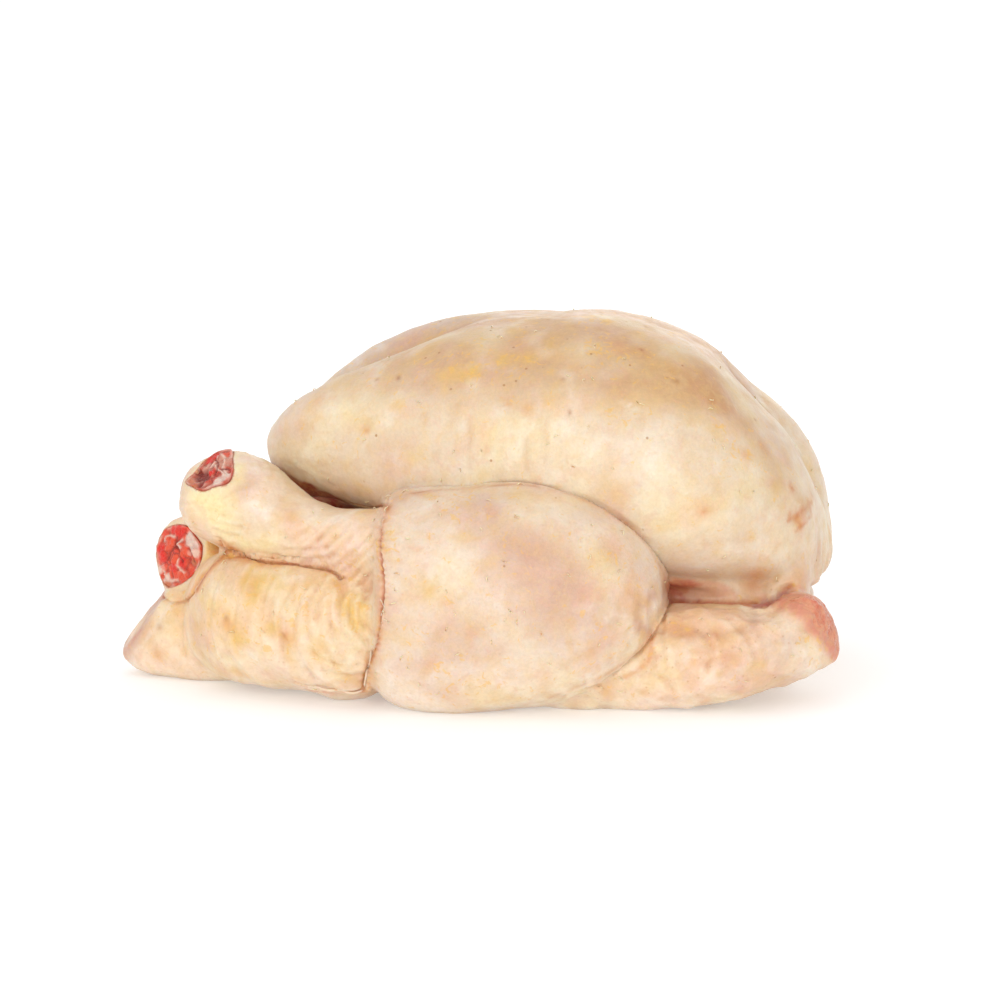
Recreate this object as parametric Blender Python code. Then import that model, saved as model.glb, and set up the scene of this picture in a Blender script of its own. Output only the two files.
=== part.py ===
"""Whole raw chicken, plucked and drawn, lying on its back with its legs tucked in.

X runs from the tail (-) to the neck (+), Y from side to side, Z up from the surface that
the bird lies on. Sizes are written in millimetres and scaled to metres where meshes are made.
"""

import math

import bmesh
import bpy
import numpy as np
from mathutils import Matrix, Vector, noise

MM = 0.001

# Brings the middle of the finished bird's outline over the origin.
TO_ORIGIN = Vector((0.25, 0.7, 0))

# Fineness of the skin while it is made, and of the finished body.
VOXEL = 1.4
SOFTEN_ROUNDS = 3
BODY_TRIANGLES = 9000
RING_POINTS = 64
RINGS_PER_SPAN = 7

# The two hocks, where the feet were cut off: middle, direction and half width of each cut.
NEAR_CUT = Vector((-89.5, -26, 74.7))
NEAR_FACING = Vector((-0.43, -0.43, 0.8)).normalized()
NEAR_CUT_RADIUS = 15
FAR_CUT = Vector((-101.5, -4, 41.2))
FAR_FACING = Vector((-0.69, -0.68, 0.22)).normalized()
FAR_CUT_RADIUS = 14.5
CUT_DEPTH = 22
# The tail's flat end, and the raw end of the wing where the outer joint was taken off.
TAIL_CUT = Vector((-115.5, 0, 17.5))
TAIL_FACING = Vector((-0.79, -0.12, 0.6)).normalized()
WING_CUT = Vector((107.5, -48.5, 31.5))
WING_FACING = Vector((0.65, -0.15, 0.75)).normalized()

# How the limbs of the far side lie against mirrored copies of the near ones.
FAR_WING_SHIFT = Vector((-2, 0, 0))
FAR_LEG_SHIFT = Vector((0, -1, 0))
FAR_RUMP_SHIFT = Vector((3, -2, -6))

# Flesh and bone that show at a cut: sides of the rod, gap round it, roughness of its face,
# and how far the cutter of its bore stands out of the skin.
CORE_SIDES = 30
CORE_GAP = 0.3
CRAG = 0.9
BORE_PROUD = 2

# Grooves and lobes of the breast.
TAIL_GROOVE = 6.0
NECK_GROOVE = 4.5
GROOVE_WIDTH = 7.5
FAR_TIP_DROP = 5.0
NEAR_LOBE_DROP = 3.0
FAR_SHOULDER_RISE = 3.5
NECK_SKEW = 0.1

# Where the thigh folds over the rump: height and X of the crease, from the base upwards.
CREASE_HEIGHTS = (0, 9, 16, 26, 39, 52, 62, 70, 80)
CREASE_XS = (-39, -37.9, -36.6, -33.5, -32.2, -32.2, -31.8, -30.1, -28)
CREASE_DEPTH = 1.6
CREASE_WIDTH = 2.0

# Folds, lumps and pleats of the skin: heights, spacings and places.
GATHER_HEIGHT = 0.55
GATHER_SPACING = 5.2
GATHER_REACH = 5
RUMP_FOLD_HEIGHT = 0.8
RUMP_FOLD_SPACING = 9
RUMP_FOLD_X = -32
RUMP_FOLD_Z = 42
WING_LUMP_HEIGHT = 1.3
NECK_HEM = 33
NECK_FLAP_HEIGHT = 1.8
NECK_TUCK_DEPTH = 3.2
PLEAT_HEIGHT = 0.9
PLEAT_SPACING = 8.5

SKIN_COLOUR = (0.88, 0.72, 0.53)
SKIN_ROUGHNESS = 0.4
FLESH_COLOUR = (0.66, 0.17, 0.13)
FLESH_ROUGHNESS = 0.3


def power(value, exponent):
    """Signed power, which turns a circle into a superellipse."""
    return math.copysign(abs(value) ** exponent, value)


def step(value, low, high):
    """0 below low, 1 above high, smooth between."""
    t = min(1.0, max(0.0, (value - low) / (high - low)))
    return t * t * (3 - 2 * t)


def bump(value, middle, width):
    return math.exp(-(((value - middle) / width) ** 2))


def smooth_rows(rows):
    """Rows read from one smooth curve through the given ones, round at both ends."""
    first, last = rows[1].copy(), rows[-2].copy()
    first[3:] *= -1
    last[3:] *= -1
    points = np.vstack([first, rows, last])
    made = []
    for i in range(1, len(points) - 2):
        a, b, c, d = points[i - 1 : i + 3]
        for k in range(RINGS_PER_SPAN):
            t = k / RINGS_PER_SPAN
            made.append(
                b
                + 0.5 * t * (c - a)
                + t * t * (a - 2.5 * b + 2 * c - 0.5 * d)
                + t * t * t * (1.5 * (b - c) + 0.5 * (d - a))
            )
    made.append(points[-2])
    return made


def mass(stations, axis=(1, 0, 0), squareness=2.0, shape=None):
    """Points and faces of one closed rounded mass.

    A station is x, y, z of its middle, then half its width and how far it reaches up and
    down. Its section is square to axis. shape moves each point of the finished mass.
    """
    along = Vector(axis).normalized()
    side = Vector((0, 0, 1)).cross(along).normalized()
    up = along.cross(side)
    rows = smooth_rows(np.array(stations, float))
    exponent = 2 / squareness
    points = [Vector(rows[0][:3])]
    for x, y, z, width, over, under in rows[1:-1]:
        for j in range(RING_POINTS):
            angle = 2 * math.pi * j / RING_POINTS
            c = power(math.cos(angle), exponent)
            s = power(math.sin(angle), exponent)
            reach = over if s > 0 else under
            points.append(Vector((x, y, z)) + side * (width * c) + up * (reach * s))
    points.append(Vector(rows[-1][:3]))
    if shape:
        points = [shape(p) for p in points]
    rings = len(rows) - 2
    faces = []
    for j in range(RING_POINTS):
        k = (j + 1) % RING_POINTS
        faces.append((0, 1 + k, 1 + j))
        for r in range(rings - 1):
            a = 1 + r * RING_POINTS
            b = a + RING_POINTS
            faces.append((a + j, a + k, b + k, b + j))
        last = 1 + (rings - 1) * RING_POINTS
        faces.append((last + j, last + k, len(points) - 1))
    return points, faces


def level(x, low, high, z, width, y=0.0):
    """A station by the heights of its underside and top, and of its widest place."""
    return x, y, z, width, high - z, z - low


def opposite(shape, shift):
    """The same mass on the other side of the bird, moved a little."""
    points, faces = shape
    moved = [Vector((p.x, -p.y, p.z)) + shift for p in points]
    return moved, [tuple(reversed(f)) for f in faces]


def sliced(middle, facing):
    """Flattens what lies beyond a cut face onto that face."""

    def flatten(p):
        beyond = (p - middle).dot(facing)
        return p - facing * beyond if beyond > 0 else p

    return flatten


def breast_lobes(p):
    """Two halves with a groove between them, the far one fuller at the neck."""
    tail_groove = TAIL_GROOVE * (1 - step(p.x, -34, 6)) * step(p.x, -74, -50)
    neck_groove = NECK_GROOVE * step(p.x, 74, 114)
    groove = (tail_groove + neck_groove) * bump(p.y, 1, GROOVE_WIDTH)
    far_drop = FAR_TIP_DROP * bump(p.x, -66, 14) * step(p.y, 0, 14)
    near_drop = NEAR_LOBE_DROP * bump(p.x, -30, 16) * step(-p.y, 0, 10)
    far_rise = FAR_SHOULDER_RISE * bump(p.x, 106, 14) * step(p.y, 4, 22)
    upper = step(p.z, 50, 72)
    skew = NECK_SKEW * p.y * step(p.x, 70, 112)
    return Vector((p.x + skew, p.y, p.z + upper * (far_rise - groove - far_drop - near_drop)))


def breast():
    return mass(
        [
            level(-72, 80.5, 80.5, 80.5, 0),
            level(-69.8, 75, 87.5, 81.5, 9),
            level(-62, 69.5, 97.5, 84, 18),
            level(-48, 63, 107, 85, 28),
            level(-30, 57, 115.5, 84, 38),
            level(-8, 51, 121.5, 82, 48),
            level(15, 46, 124, 79, 55),
            level(40, 43, 124.8, 75, 59.5),
            level(62, 41.5, 120.5, 71, 60),
            level(80, 41, 111, 65, 57),
            level(95, 37, 97.5, 60, 51),
            level(107, 32, 83, 54, 42.5),
            level(115, 33, 68, 50, 29),
            level(118.5, 50, 50, 50, 0),
        ],
        squareness=2.3,
        shape=breast_lobes,
    )


def carcass():
    return mass(
        [
            level(-40, 20, 20, 20, 0),
            level(-34, 0, 50, 25, 38),
            level(-10, -2, 70, 30, 46),
            level(30, -2, 70, 30, 47),
            level(70, -2, 66, 30, 42),
            level(95, 0, 60, 30, 38),
            level(108, 5, 56, 30, 33),
            level(114, 30, 30, 30, 0),
        ],
        squareness=2.6,
    )


def leg():
    """Thigh and drumstick folded together, under one skin."""
    return mass(
        [
            level(-35.5, 36, 36, 36, 0, -40),
            level(-35, 13, 60, 36, 18, -40),
            level(-32.5, 4, 67.5, 36, 25, -42),
            level(-25.5, -0.5, 72.5, 36, 29, -43),
            level(-12, -2, 75, 37, 31.5, -44),
            level(3, -2, 76.2, 38, 32.5, -44),
            level(16, -1, 76, 38.5, 33, -44),
            level(28, 0.5, 74, 39, 33, -43.5),
            level(40, 5.5, 68.5, 39, 31, -43),
            level(50, 13.5, 61, 39, 27, -42),
            level(57, 23, 53, 39, 19, -41),
            level(60.8, 38.5, 38.5, 38.5, 0, -40),
        ],
        squareness=2.6,
    )


def near_shank():
    return mass(
        [
            (-18, -50, 48, 0, 0, 0),
            (-22, -48.5, 49, 14, 14, 14),
            (-36, -43, 53, 12.5, 11.5, 12),
            (-48, -37.5, 55.5, 11.5, 11, 11.5),
            (-60, -31.5, 58.5, 13, 12.5, 14),
            (-72, -26, 62, 15, 15.5, 17),
            (-82, -21.5, 64, 15.5, 16, 16.5),
            (-89, -18.5, 65, 15, 14.5, 15),
            (-94, -16.5, 65.5, 12, 11.5, 12),
            (-97.5, -15, 66, 7, 7, 7.5),
            (-99, -14.5, 66, 0, 0, 0),
        ],
        axis=(-54, 26, 14),
        shape=sliced(NEAR_CUT, NEAR_FACING),
    )


def far_shank():
    return mass(
        [
            (-18, 50, 46, 0, 0, 0),
            (-22, 48.5, 47, 14, 14, 14),
            (-38, 42, 50, 12.5, 12.5, 12.5),
            (-52, 34, 48.5, 12, 12, 12),
            (-66, 25, 45, 12, 12, 12),
            (-80, 15, 42.5, 13, 13, 13),
            (-91, 6, 41.3, 13.5, 13.5, 13.5),
            (-100, -1.5, 41.3, 13.5, 13.5, 13.5),
            (-107, -6, 41, 11, 11, 11),
            (-110.5, -8.5, 40.8, 6, 6, 6),
            (-111.5, -9.5, 40.6, 0, 0, 0),
        ],
        axis=(-54, -38, -4),
        shape=sliced(FAR_CUT, FAR_FACING),
    )


def rump():
    return mass(
        [
            level(-99.5, 24, 24, 24, 0, -16),
            level(-98, 14, 34, 24, 8, -17),
            level(-93.5, 7.5, 41.5, 24, 17, -18),
            level(-85, 3.5, 46.5, 25, 24, -21),
            level(-70, 1.5, 48.5, 26, 29, -25),
            level(-54, 0, 48.5, 26, 32, -28),
            level(-42, -1, 49, 26, 32.5, -29),
            level(-33, 3, 46, 26, 27, -30),
            level(-26, 25, 25, 25, 0, -30),
        ],
        squareness=2.3,
    )


def middle_rump():
    return mass(
        [
            level(-98, 15, 15, 15, 0),
            level(-92, 0, 28, 15, 18),
            level(-70, -1, 34, 15, 32),
            level(-40, -1, 36, 15, 36),
            level(-20, 15, 15, 15, 0),
        ],
        squareness=2.3,
    )


def tail():
    return mass(
        [
            level(-122.5, 7.5, 7.5, 7.5, 0),
            level(-121.2, 4.5, 12.5, 7.5, 4.5),
            level(-116, 1.5, 21, 8.5, 10),
            level(-108, -0.5, 29.5, 11, 15),
            level(-99, -1.5, 33, 13, 20),
            level(-86, -1.5, 33, 14, 27),
            level(-70, 0, 30, 14, 28),
            level(-60, 14, 14, 14, 0),
        ],
        squareness=2.2,
        shape=sliced(TAIL_CUT, TAIL_FACING),
    )


def wing():
    """Upper arm of the wing, laid back along the side to under the leg."""
    return mass(
        [
            level(14, 5, 5, 5, 0, -46),
            level(18, 0, 12, 6, 9, -47),
            level(32, -1, 23, 11, 14, -47),
            level(48, -1, 31, 15, 16, -48),
            level(64, 0, 37, 18, 18, -50),
            level(80, 2, 38, 20, 18.5, -49.5),
            level(92, 4.5, 39, 21, 18.5, -47.5),
            level(103, 8, 41, 24, 18, -45.5),
            level(111, 11.5, 40, 25, 14, -43.5),
            level(116.5, 16.5, 35, 25, 8, -42),
            level(118.5, 25, 25, 25, 0, -41),
        ],
        squareness=2.2,
        shape=sliced(WING_CUT, WING_FACING),
    )


def neck_skin():
    return mass(
        [
            level(84, 36, 36, 36, 0),
            level(90, 6, 62, 36, 34),
            level(104, 3, 64, 36, 39),
            level(112, 10, 58, 37, 31),
            level(117, 36, 36, 36, 0),
        ],
        squareness=2.4,
    )


def cavity():
    """The drawn inside, open between the hocks and under the tip of the breast."""
    return mass(
        [
            level(-60, 56, 56, 56, 0, 4),
            level(-55, 47, 65, 56, 12, 4),
            level(-42, 40, 67, 55, 19, 3),
            level(-22, 30, 71, 51, 25, 1),
            level(10, 22, 76, 48, 29),
            level(42, 22, 76, 48, 29),
            level(64, 30, 66, 48, 21),
            level(74, 48, 48, 48, 0),
        ]
    )


def mesh_object(name, shapes):
    """One mesh object that holds the given masses side by side, in metres."""
    points, faces = [], []
    for shape_points, shape_faces in shapes:
        start = len(points)
        points += [p * MM for p in shape_points]
        faces += [tuple(start + i for i in f) for f in shape_faces]
    mesh = bpy.data.meshes.new(name)
    mesh.from_pydata(points, [], faces)
    made = bpy.data.objects.new(name, mesh)
    bpy.context.scene.collection.objects.link(made)
    return made


def apply_modifiers(piece):
    graph = bpy.context.evaluated_depsgraph_get()
    made = bpy.data.meshes.new_from_object(piece.evaluated_get(graph))
    piece.modifiers.clear()
    piece.data = made


def one_skin(piece):
    """Joins what the object holds under one closed skin."""
    remesh = piece.modifiers.new("one_skin", "REMESH")
    remesh.mode = "VOXEL"
    remesh.voxel_size = VOXEL * MM
    apply_modifiers(piece)


def cut_away(piece, shape):
    cutter = mesh_object("cutter", [shape])
    cut = piece.modifiers.new("cut", "BOOLEAN")
    cut.operation = "DIFFERENCE"
    cut.object = cutter
    apply_modifiers(piece)
    bpy.data.objects.remove(cutter)


def soften(piece):
    smooth = piece.modifiers.new("soften", "SMOOTH")
    smooth.factor = 0.5
    smooth.iterations = SOFTEN_ROUNDS
    apply_modifiers(piece)


def thin(piece):
    piece.data.calc_loop_triangles()
    reduce = piece.modifiers.new("thin", "DECIMATE")
    reduce.ratio = BODY_TRIANGLES / len(piece.data.loop_triangles)
    apply_modifiers(piece)


def crease_distance(p):
    """How far forward of the crease between thigh and rump a point lies."""
    return p.x - float(np.interp(p.z, CREASE_HEIGHTS, CREASE_XS))


def gathers(p):
    """The crease itself, and the small folds of skin that run out of it."""
    outer = step(abs(p.y), 38, 52)
    if not outer:
        return 0.0
    away = crease_distance(p)
    folds = math.cos(2 * math.pi * (p.z + 1.5 * noise.noise(p * 0.2)) / GATHER_SPACING)
    fade = math.exp(-abs(away) / GATHER_REACH)
    return outer * (GATHER_HEIGHT * folds * fade - CREASE_DEPTH * bump(away, 0, CREASE_WIDTH))


def rump_folds(p):
    """Shallow folds that bend round the lower end of the drumstick."""
    inside = step(p.x, -92, -70) * (1 - step(p.x, -40, -33)) * step(abs(p.y), 26, 40)
    inside *= 1 - step(p.z, 40, 47)
    if not inside:
        return 0.0
    radius = math.hypot(p.x - RUMP_FOLD_X, p.z - RUMP_FOLD_Z) + 4 * noise.noise(p * 0.06)
    return RUMP_FOLD_HEIGHT * inside * math.cos(2 * math.pi * radius / RUMP_FOLD_SPACING)


def wing_lumps(p):
    inside = step(p.x, 24, 44) * step(abs(p.y), 44, 54) * (1 - step(p.z, 34, 42))
    lumps = noise.noise(Vector((p.x * 0.09, p.y * 0.09 + 7, p.z * 0.13)))
    return WING_LUMP_HEIGHT * inside * lumps


def neck_tuck(p):
    """Neck skin folded down over the front end and tucked under in small pleats."""
    front = step(p.x, 92, 106) * (1 - step(abs(p.y), 22, 34))
    if not front:
        return 0.0
    hem = NECK_HEM + 3 * noise.noise(Vector((p.y * 0.06, 3, 0)))
    waves = math.cos(2 * math.pi * (p.y + 2 * noise.noise(p * 0.08)) / PLEAT_SPACING)
    pleats = PLEAT_HEIGHT * waves * bump(p.z, hem + 7, 8)
    flap = NECK_FLAP_HEIGHT * step(p.z, hem, hem + 3) * (1 - step(p.z, hem + 8, hem + 24))
    tuck = NECK_TUCK_DEPTH * bump(p.z, hem - 1, 2.6)
    return front * (flap - tuck + pleats)


def unevenness(p):
    """Slow swellings of the whole skin, with smaller ones on them."""
    return 1.3 * noise.noise(p * 0.035) + 0.5 * noise.noise(p * 0.1)


def add_relief(piece):
    """Moves each point of the skin in or out by the folds and lumps of the bird."""
    piece.data.update()
    moves = []
    for vertex in piece.data.vertices:
        p = vertex.co / MM
        height = gathers(p) + rump_folds(p) + wing_lumps(p) + neck_tuck(p)
        moves.append(vertex.normal * (height + unevenness(p)) * MM)
    for vertex, move in zip(piece.data.vertices, moves):
        vertex.co += move


def rest_flat(piece):
    """Cuts the underside off along the surface that the bird lies on."""
    shape = bmesh.new()
    shape.from_mesh(piece.data)
    everything = shape.verts[:] + shape.edges[:] + shape.faces[:]
    cut = bmesh.ops.bisect_plane(
        shape, geom=everything, plane_co=(0, 0, 0), plane_no=(0, 0, 1), clear_inner=True
    )
    rim = [e for e in cut["geom_cut"] if isinstance(e, bmesh.types.BMEdge)]
    bmesh.ops.triangle_fill(shape, edges=rim, use_beauty=True, normal=(0, 0, -1))
    bmesh.ops.recalc_face_normals(shape, faces=shape.faces[:])
    shape.to_mesh(piece.data)
    shape.free()


def frame_of(axis):
    """Two directions square to axis and to each other."""
    side = Vector((0, 0, 1)).cross(axis).normalized()
    return side, axis.cross(side)


def rod(rings, crag=0.0):
    """A closed rod through rings of middle, axis and radius, with a craggy first face."""
    points, faces = [], []
    middle, axis, radius = rings[0]
    side, up = frame_of(axis)
    shares = (0.35, 0.7) if crag else ()
    face_rings = [(middle, side, up, radius * share, crag) for share in shares]
    body_rings = [(m, *frame_of(a), r, 0.0) for m, a, r in rings]
    points.append(middle + axis * crag * 0.5)
    for m, u, v, r, rough in face_rings + body_rings:
        for j in range(CORE_SIDES):
            angle = 2 * math.pi * j / CORE_SIDES
            place = m + r * (u * math.cos(angle) + v * math.sin(angle))
            lift = rough * noise.noise(place * 0.3)
            points.append(place + axis * lift)
    points.append(rings[-1][0].copy())
    count = len(face_rings) + len(body_rings)
    for j in range(CORE_SIDES):
        k = (j + 1) % CORE_SIDES
        faces.append((0, 1 + j, 1 + k))
        for r in range(count - 1):
            a = 1 + r * CORE_SIDES
            b = a + CORE_SIDES
            faces.append((a + k, a + j, b + j, b + k))
        last = 1 + (count - 1) * CORE_SIDES
        faces.append((last + k, last + j, len(points) - 1))
    return points, faces


def slice_off(middle, facing, radius):
    """What a knife takes off beyond a cut face."""
    return rod([(middle + facing * CUT_DEPTH, facing, radius), (middle, facing, radius)])


def core_rings(core, grow=0.0, proud=0.0):
    """Middle, axis and radius along the flesh of a limb, from its cut face inwards.

    The axes turn from square to the cut face to the line of the limb.
    """
    middle, facing, places = core
    starts = [middle + facing * proud, middle] if proud else [middle]
    rings = [(start, facing, places[0][3] + grow) for start in starts]
    before = middle
    for i, (x, y, z, radius) in enumerate(places):
        place = Vector((x, y, z))
        outward = (before - place).normalized()
        axis = (outward + facing * max(0, 1.5 - i)).normalized()
        before = place
        if i == len(places) - 1:
            place = place - outward * grow
        rings.append((place, axis, radius + grow))
    return rings


def near_shank_core():
    return (
        NEAR_CUT,
        NEAR_FACING,
        [
            (-87.0, -24.5, 71.2, 8.4),
            (-82.5, -23.5, 67.0, 8.6),
            (-74.0, -25.5, 62.8, 7.6),
            (-62.0, -31.0, 58.6, 6.0),
            (-48.0, -37.5, 55.3, 4.2),
        ],
    )


def far_shank_core():
    return (
        FAR_CUT,
        FAR_FACING,
        [
            (-97.6, 0.4, 41.2, 10.2),
            (-91.0, 6.0, 41.3, 9.6),
            (-80.0, 15.0, 42.5, 8.2),
            (-66.0, 25.0, 45.0, 6.2),
            (-52.0, 34.0, 48.5, 4.4),
        ],
    )


def near_wing_core():
    return (
        WING_CUT,
        WING_FACING,
        [
            (105.0, -48.2, 28.6, 10.2),
            (99.0, -47.8, 24.6, 9.8),
            (88.0, -48.2, 21.4, 8.4),
            (70.0, -50.0, 18.5, 6.2),
            (52.0, -48.5, 16.0, 4.4),
        ],
    )


def far_wing_core():
    turned = Vector((1, -1, 1))
    middle, facing, places = near_wing_core()
    shift = FAR_WING_SHIFT.x
    moved = [(x + shift, -y, z, radius) for x, y, z, radius in places]
    return middle * turned + FAR_WING_SHIFT, facing * turned, moved


def move_to_origin(piece):
    piece.data.transform(Matrix.Translation(TO_ORIGIN * MM))
    piece.data.update()


def paint(piece, name, colour, roughness):
    material = bpy.data.materials.new(name)
    material.use_nodes = True
    shader = material.node_tree.nodes["Principled BSDF"]
    shader.inputs["Base Color"].default_value = (*colour, 1)
    shader.inputs["Roughness"].default_value = roughness
    piece.data.materials.clear()
    piece.data.materials.append(material)


def all_masses():
    return [
        breast(),
        carcass(),
        leg(),
        opposite(leg(), FAR_LEG_SHIFT),
        near_shank(),
        far_shank(),
        rump(),
        opposite(rump(), FAR_RUMP_SHIFT),
        middle_rump(),
        tail(),
        wing(),
        opposite(wing(), FAR_WING_SHIFT),
        neck_skin(),
    ]


def make_chicken(cores):
    body = mesh_object("chicken", all_masses())
    one_skin(body)
    cut_away(body, cavity())
    one_skin(body)
    soften(body)
    add_relief(body)
    thin(body)
    rest_flat(body)
    cut_away(body, slice_off(NEAR_CUT, NEAR_FACING, NEAR_CUT_RADIUS))
    cut_away(body, slice_off(FAR_CUT, FAR_FACING, FAR_CUT_RADIUS))
    for core in cores.values():
        cut_away(body, rod(core_rings(core, CORE_GAP, BORE_PROUD)))
    move_to_origin(body)
    paint(body, "skin", SKIN_COLOUR, SKIN_ROUGHNESS)


def make_core(name, core):
    flesh = mesh_object(name, [rod(core_rings(core), CRAG)])
    move_to_origin(flesh)
    paint(flesh, name + "_flesh", FLESH_COLOUR, FLESH_ROUGHNESS)


def main():
    for old in list(bpy.data.objects):
        bpy.data.objects.remove(old)
    cores = {
        "near_shank_core": near_shank_core(),
        "far_shank_core": far_shank_core(),
        "near_wing_core": near_wing_core(),
        "far_wing_core": far_wing_core(),
    }
    make_chicken(cores)
    for name, core in cores.items():
        make_core(name, core)


main()
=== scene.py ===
import math
import random

import bmesh
import bpy
import numpy as np
from mathutils import Matrix, Vector, noise
from mathutils.bvhtree import BVHTree


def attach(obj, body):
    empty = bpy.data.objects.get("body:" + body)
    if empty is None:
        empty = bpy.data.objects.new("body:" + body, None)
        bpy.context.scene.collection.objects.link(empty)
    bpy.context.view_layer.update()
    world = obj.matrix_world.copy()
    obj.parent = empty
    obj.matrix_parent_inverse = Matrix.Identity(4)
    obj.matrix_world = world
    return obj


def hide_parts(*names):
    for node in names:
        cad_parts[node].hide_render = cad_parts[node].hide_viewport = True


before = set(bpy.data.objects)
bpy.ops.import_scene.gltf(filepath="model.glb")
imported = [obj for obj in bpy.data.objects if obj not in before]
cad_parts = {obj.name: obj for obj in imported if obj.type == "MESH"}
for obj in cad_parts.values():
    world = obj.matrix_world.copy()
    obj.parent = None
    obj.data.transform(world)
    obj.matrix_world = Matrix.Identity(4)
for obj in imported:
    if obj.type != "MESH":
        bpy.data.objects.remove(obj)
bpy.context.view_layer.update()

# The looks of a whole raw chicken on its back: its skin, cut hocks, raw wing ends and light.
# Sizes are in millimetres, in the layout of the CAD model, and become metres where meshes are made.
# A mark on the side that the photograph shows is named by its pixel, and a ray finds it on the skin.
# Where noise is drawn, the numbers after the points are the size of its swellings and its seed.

MM = 0.001

# Turns a place into its mirror image on the other side of the bird.
MIRROR = np.array((1, -1, 1))

# How brightly the studio lights a surface that faces the camera.
LIGHT = 1.2

# Brings the middle of the bird over the origin, as in the CAD model.
TO_ORIGIN = Vector((0.25, 0.7, 0))

# Fineness of the skin: voxels of its mesh, and of the closer shape that its points are laid on.
VOXEL = 2.05
CLOSE_VOXEL = 0.9
SOFTEN_ROUNDS = 3
RING_POINTS = 96
RINGS_PER_SPAN = 8

# The photograph's view.
ELEVATION = math.radians(10)
DISTANCE = 1200
PHOTO_SIDE = 1000
MM_PER_PIXEL = 0.34
SENSOR = 36
LOOKED_AT = Vector((6.8, 0, 60))
FORWARD = Vector((0, math.cos(ELEVATION), -math.sin(ELEVATION)))
UPWARD = Vector((0, math.sin(ELEVATION), math.cos(ELEVATION)))
EYE = LOOKED_AT - FORWARD * DISTANCE

# The cuts: middle and direction of each face.
NEAR_CUT = Vector((-89.5, -26, 74.7))
NEAR_FACING = Vector((-0.43, -0.43, 0.8)).normalized()
FAR_CUT = Vector((-101.5, -4, 41.2))
FAR_FACING = Vector((-0.69, -0.68, 0.22)).normalized()
TAIL_CUT = Vector((-115.5, 0, 17.5))
TAIL_FACING = Vector((-0.79, -0.12, 0.6)).normalized()
WING_CUT = Vector((111.0, -50.0, 28.6))
WING_FACING = Vector((0.62, -0.42, 0.66)).normalized()

# How the limbs of the far side lie against mirrored copies of the near ones.
FAR_WING_SHIFT = Vector((-2, 0, 0))
FAR_LEG_SHIFT = Vector((0, -1, 0))
FAR_RUMP_SHIFT = Vector((3, -2, -6))

# Grooves and lobes of the breast.
TAIL_GROOVE = 8.5
NECK_GROOVE = 6.5
GROOVE_WIDTH = 7
FAR_TIP_DROP = 5.0
NEAR_LOBE_DROP = 3.0
FAR_CREST_RISE = 2.4
FAR_SHOULDER_RISE = 3.2
NECK_SKEW = 0.15

# How far the near shank is lowered under the breast's tip while the mesh is made, so that no web
# closes the gap between them.
TIP_GAP = 3.5

# Heights and X of the crease where the thigh folds over the rump.
CREASE_HEIGHTS = (0, 9, 16, 26, 39, 52, 62, 70, 80)
CREASE_XS = (-39, -37.9, -36.6, -33.5, -32.2, -32.2, -31.8, -30.1, -28)

# Small folds that run out of this crease: height, spacing, reach over the thigh and over the rump.
GATHER_HEIGHT = 0.42
GATHER_SPACING = 2.6
THIGH_REACH = 5
RUMP_REACH = 2.5

# Folds round the lower end of the drumstick: their middle, then height and spacing of the broad
# and the fine ones.
RUMP_FOLD_X = -32
RUMP_FOLD_Z = 42
RUMP_FOLD_HEIGHT = 0.45
RUMP_FOLD_SPACING = 9
FINE_FOLD_HEIGHT = 0.16
FINE_FOLD_SPACING = 3.1

# Neck skin: height of its hem, its flap and tuck, and height and spacing of its pleats.
NECK_HEM = 33
NECK_FLAP_HEIGHT = 0.7
NECK_TUCK_DEPTH = 3.2
PLEAT_HEIGHT = 0.9
PLEAT_SPACING = 8.5
FINE_PLEAT_HEIGHT = 0.3
FINE_PLEAT_SPACING = 3.4

# Rings round the knobs of the hocks.
KNOB_RING_HEIGHT = 0.14
KNOB_RING_SPACING = 2.3

# Swellings of the whole skin and of the wings: height, size and seed.
UNEVENNESS = ((1.3, 28.6, 0.0), (0.5, 10, 0.0), (0.14, 4, 9.7))
WING_LUMPS = ((1.3, 12, 7.0), (0.6, 5, 3.3))
WING_GRAIN = ((0.3, 2.6, 1.9),)

# Fine wrinkles of the skin: part, height, size, how far they are drawn out along each axis, seed.
CREPES = (
    ("shank", 0.3, 4.2, (1.6, 1.6, 1), 2.7),
    ("shank", 0.14, 1.9, (1.4, 1.4, 1), 9.2),
    ("rump", 0.16, 4.5, (1, 1, 2.2), 5.1),
    ("knee", 0.34, 4.0, (0.8, 1, 3.4), 1.4),
    ("tail", 0.2, 4, (1, 1, 1.5), 7.4),
    ("wing", 0.45, 4.4, (1.7, 1, 1), 3.9),
    ("wing", 0.16, 2.0, (1.3, 1, 1), 6.3),
)

# The groove along the middle of the breast, and the fold between the far shank and the rump.
KEEL_DEPTH = 1.1
KEEL_WIDTH = 2.0
SHANK_FOLD_DEPTH = 1.5
SHANK_FOLD_WIDTH = 1.2

# Stands for any distance beyond what is looked at.
FAR_AWAY = 99.0


def power(value, exponent):
    """Signed power, which turns a circle into a superellipse."""
    return math.copysign(abs(value) ** exponent, value)


def step(value, low, high):
    """0 below low, 1 above high, smooth between."""
    t = np.clip((value - low) / (high - low), 0, 1)
    return t * t * (3 - 2 * t)


def bump(value, middle, width):
    """1 at the middle, fading to both sides over about the width."""
    return np.exp(-(((value - middle) / width) ** 2))


def swell(points, size, seed=0.0):
    """Smooth noise between about -1 and 1, with swellings about size wide at each point."""
    places = np.asarray(points) / size + seed
    return np.array([noise.noise(place) for place in places.tolist()])


def swells(points, size, seeds):
    """A column of such noise for each seed."""
    return np.stack([swell(points, size, seed) for seed in seeds], axis=1)


def layered(points, rows):
    """Swellings of several heights and sizes laid over one another."""
    return sum(height * swell(points, size, seed) for height, size, seed in rows)


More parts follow.
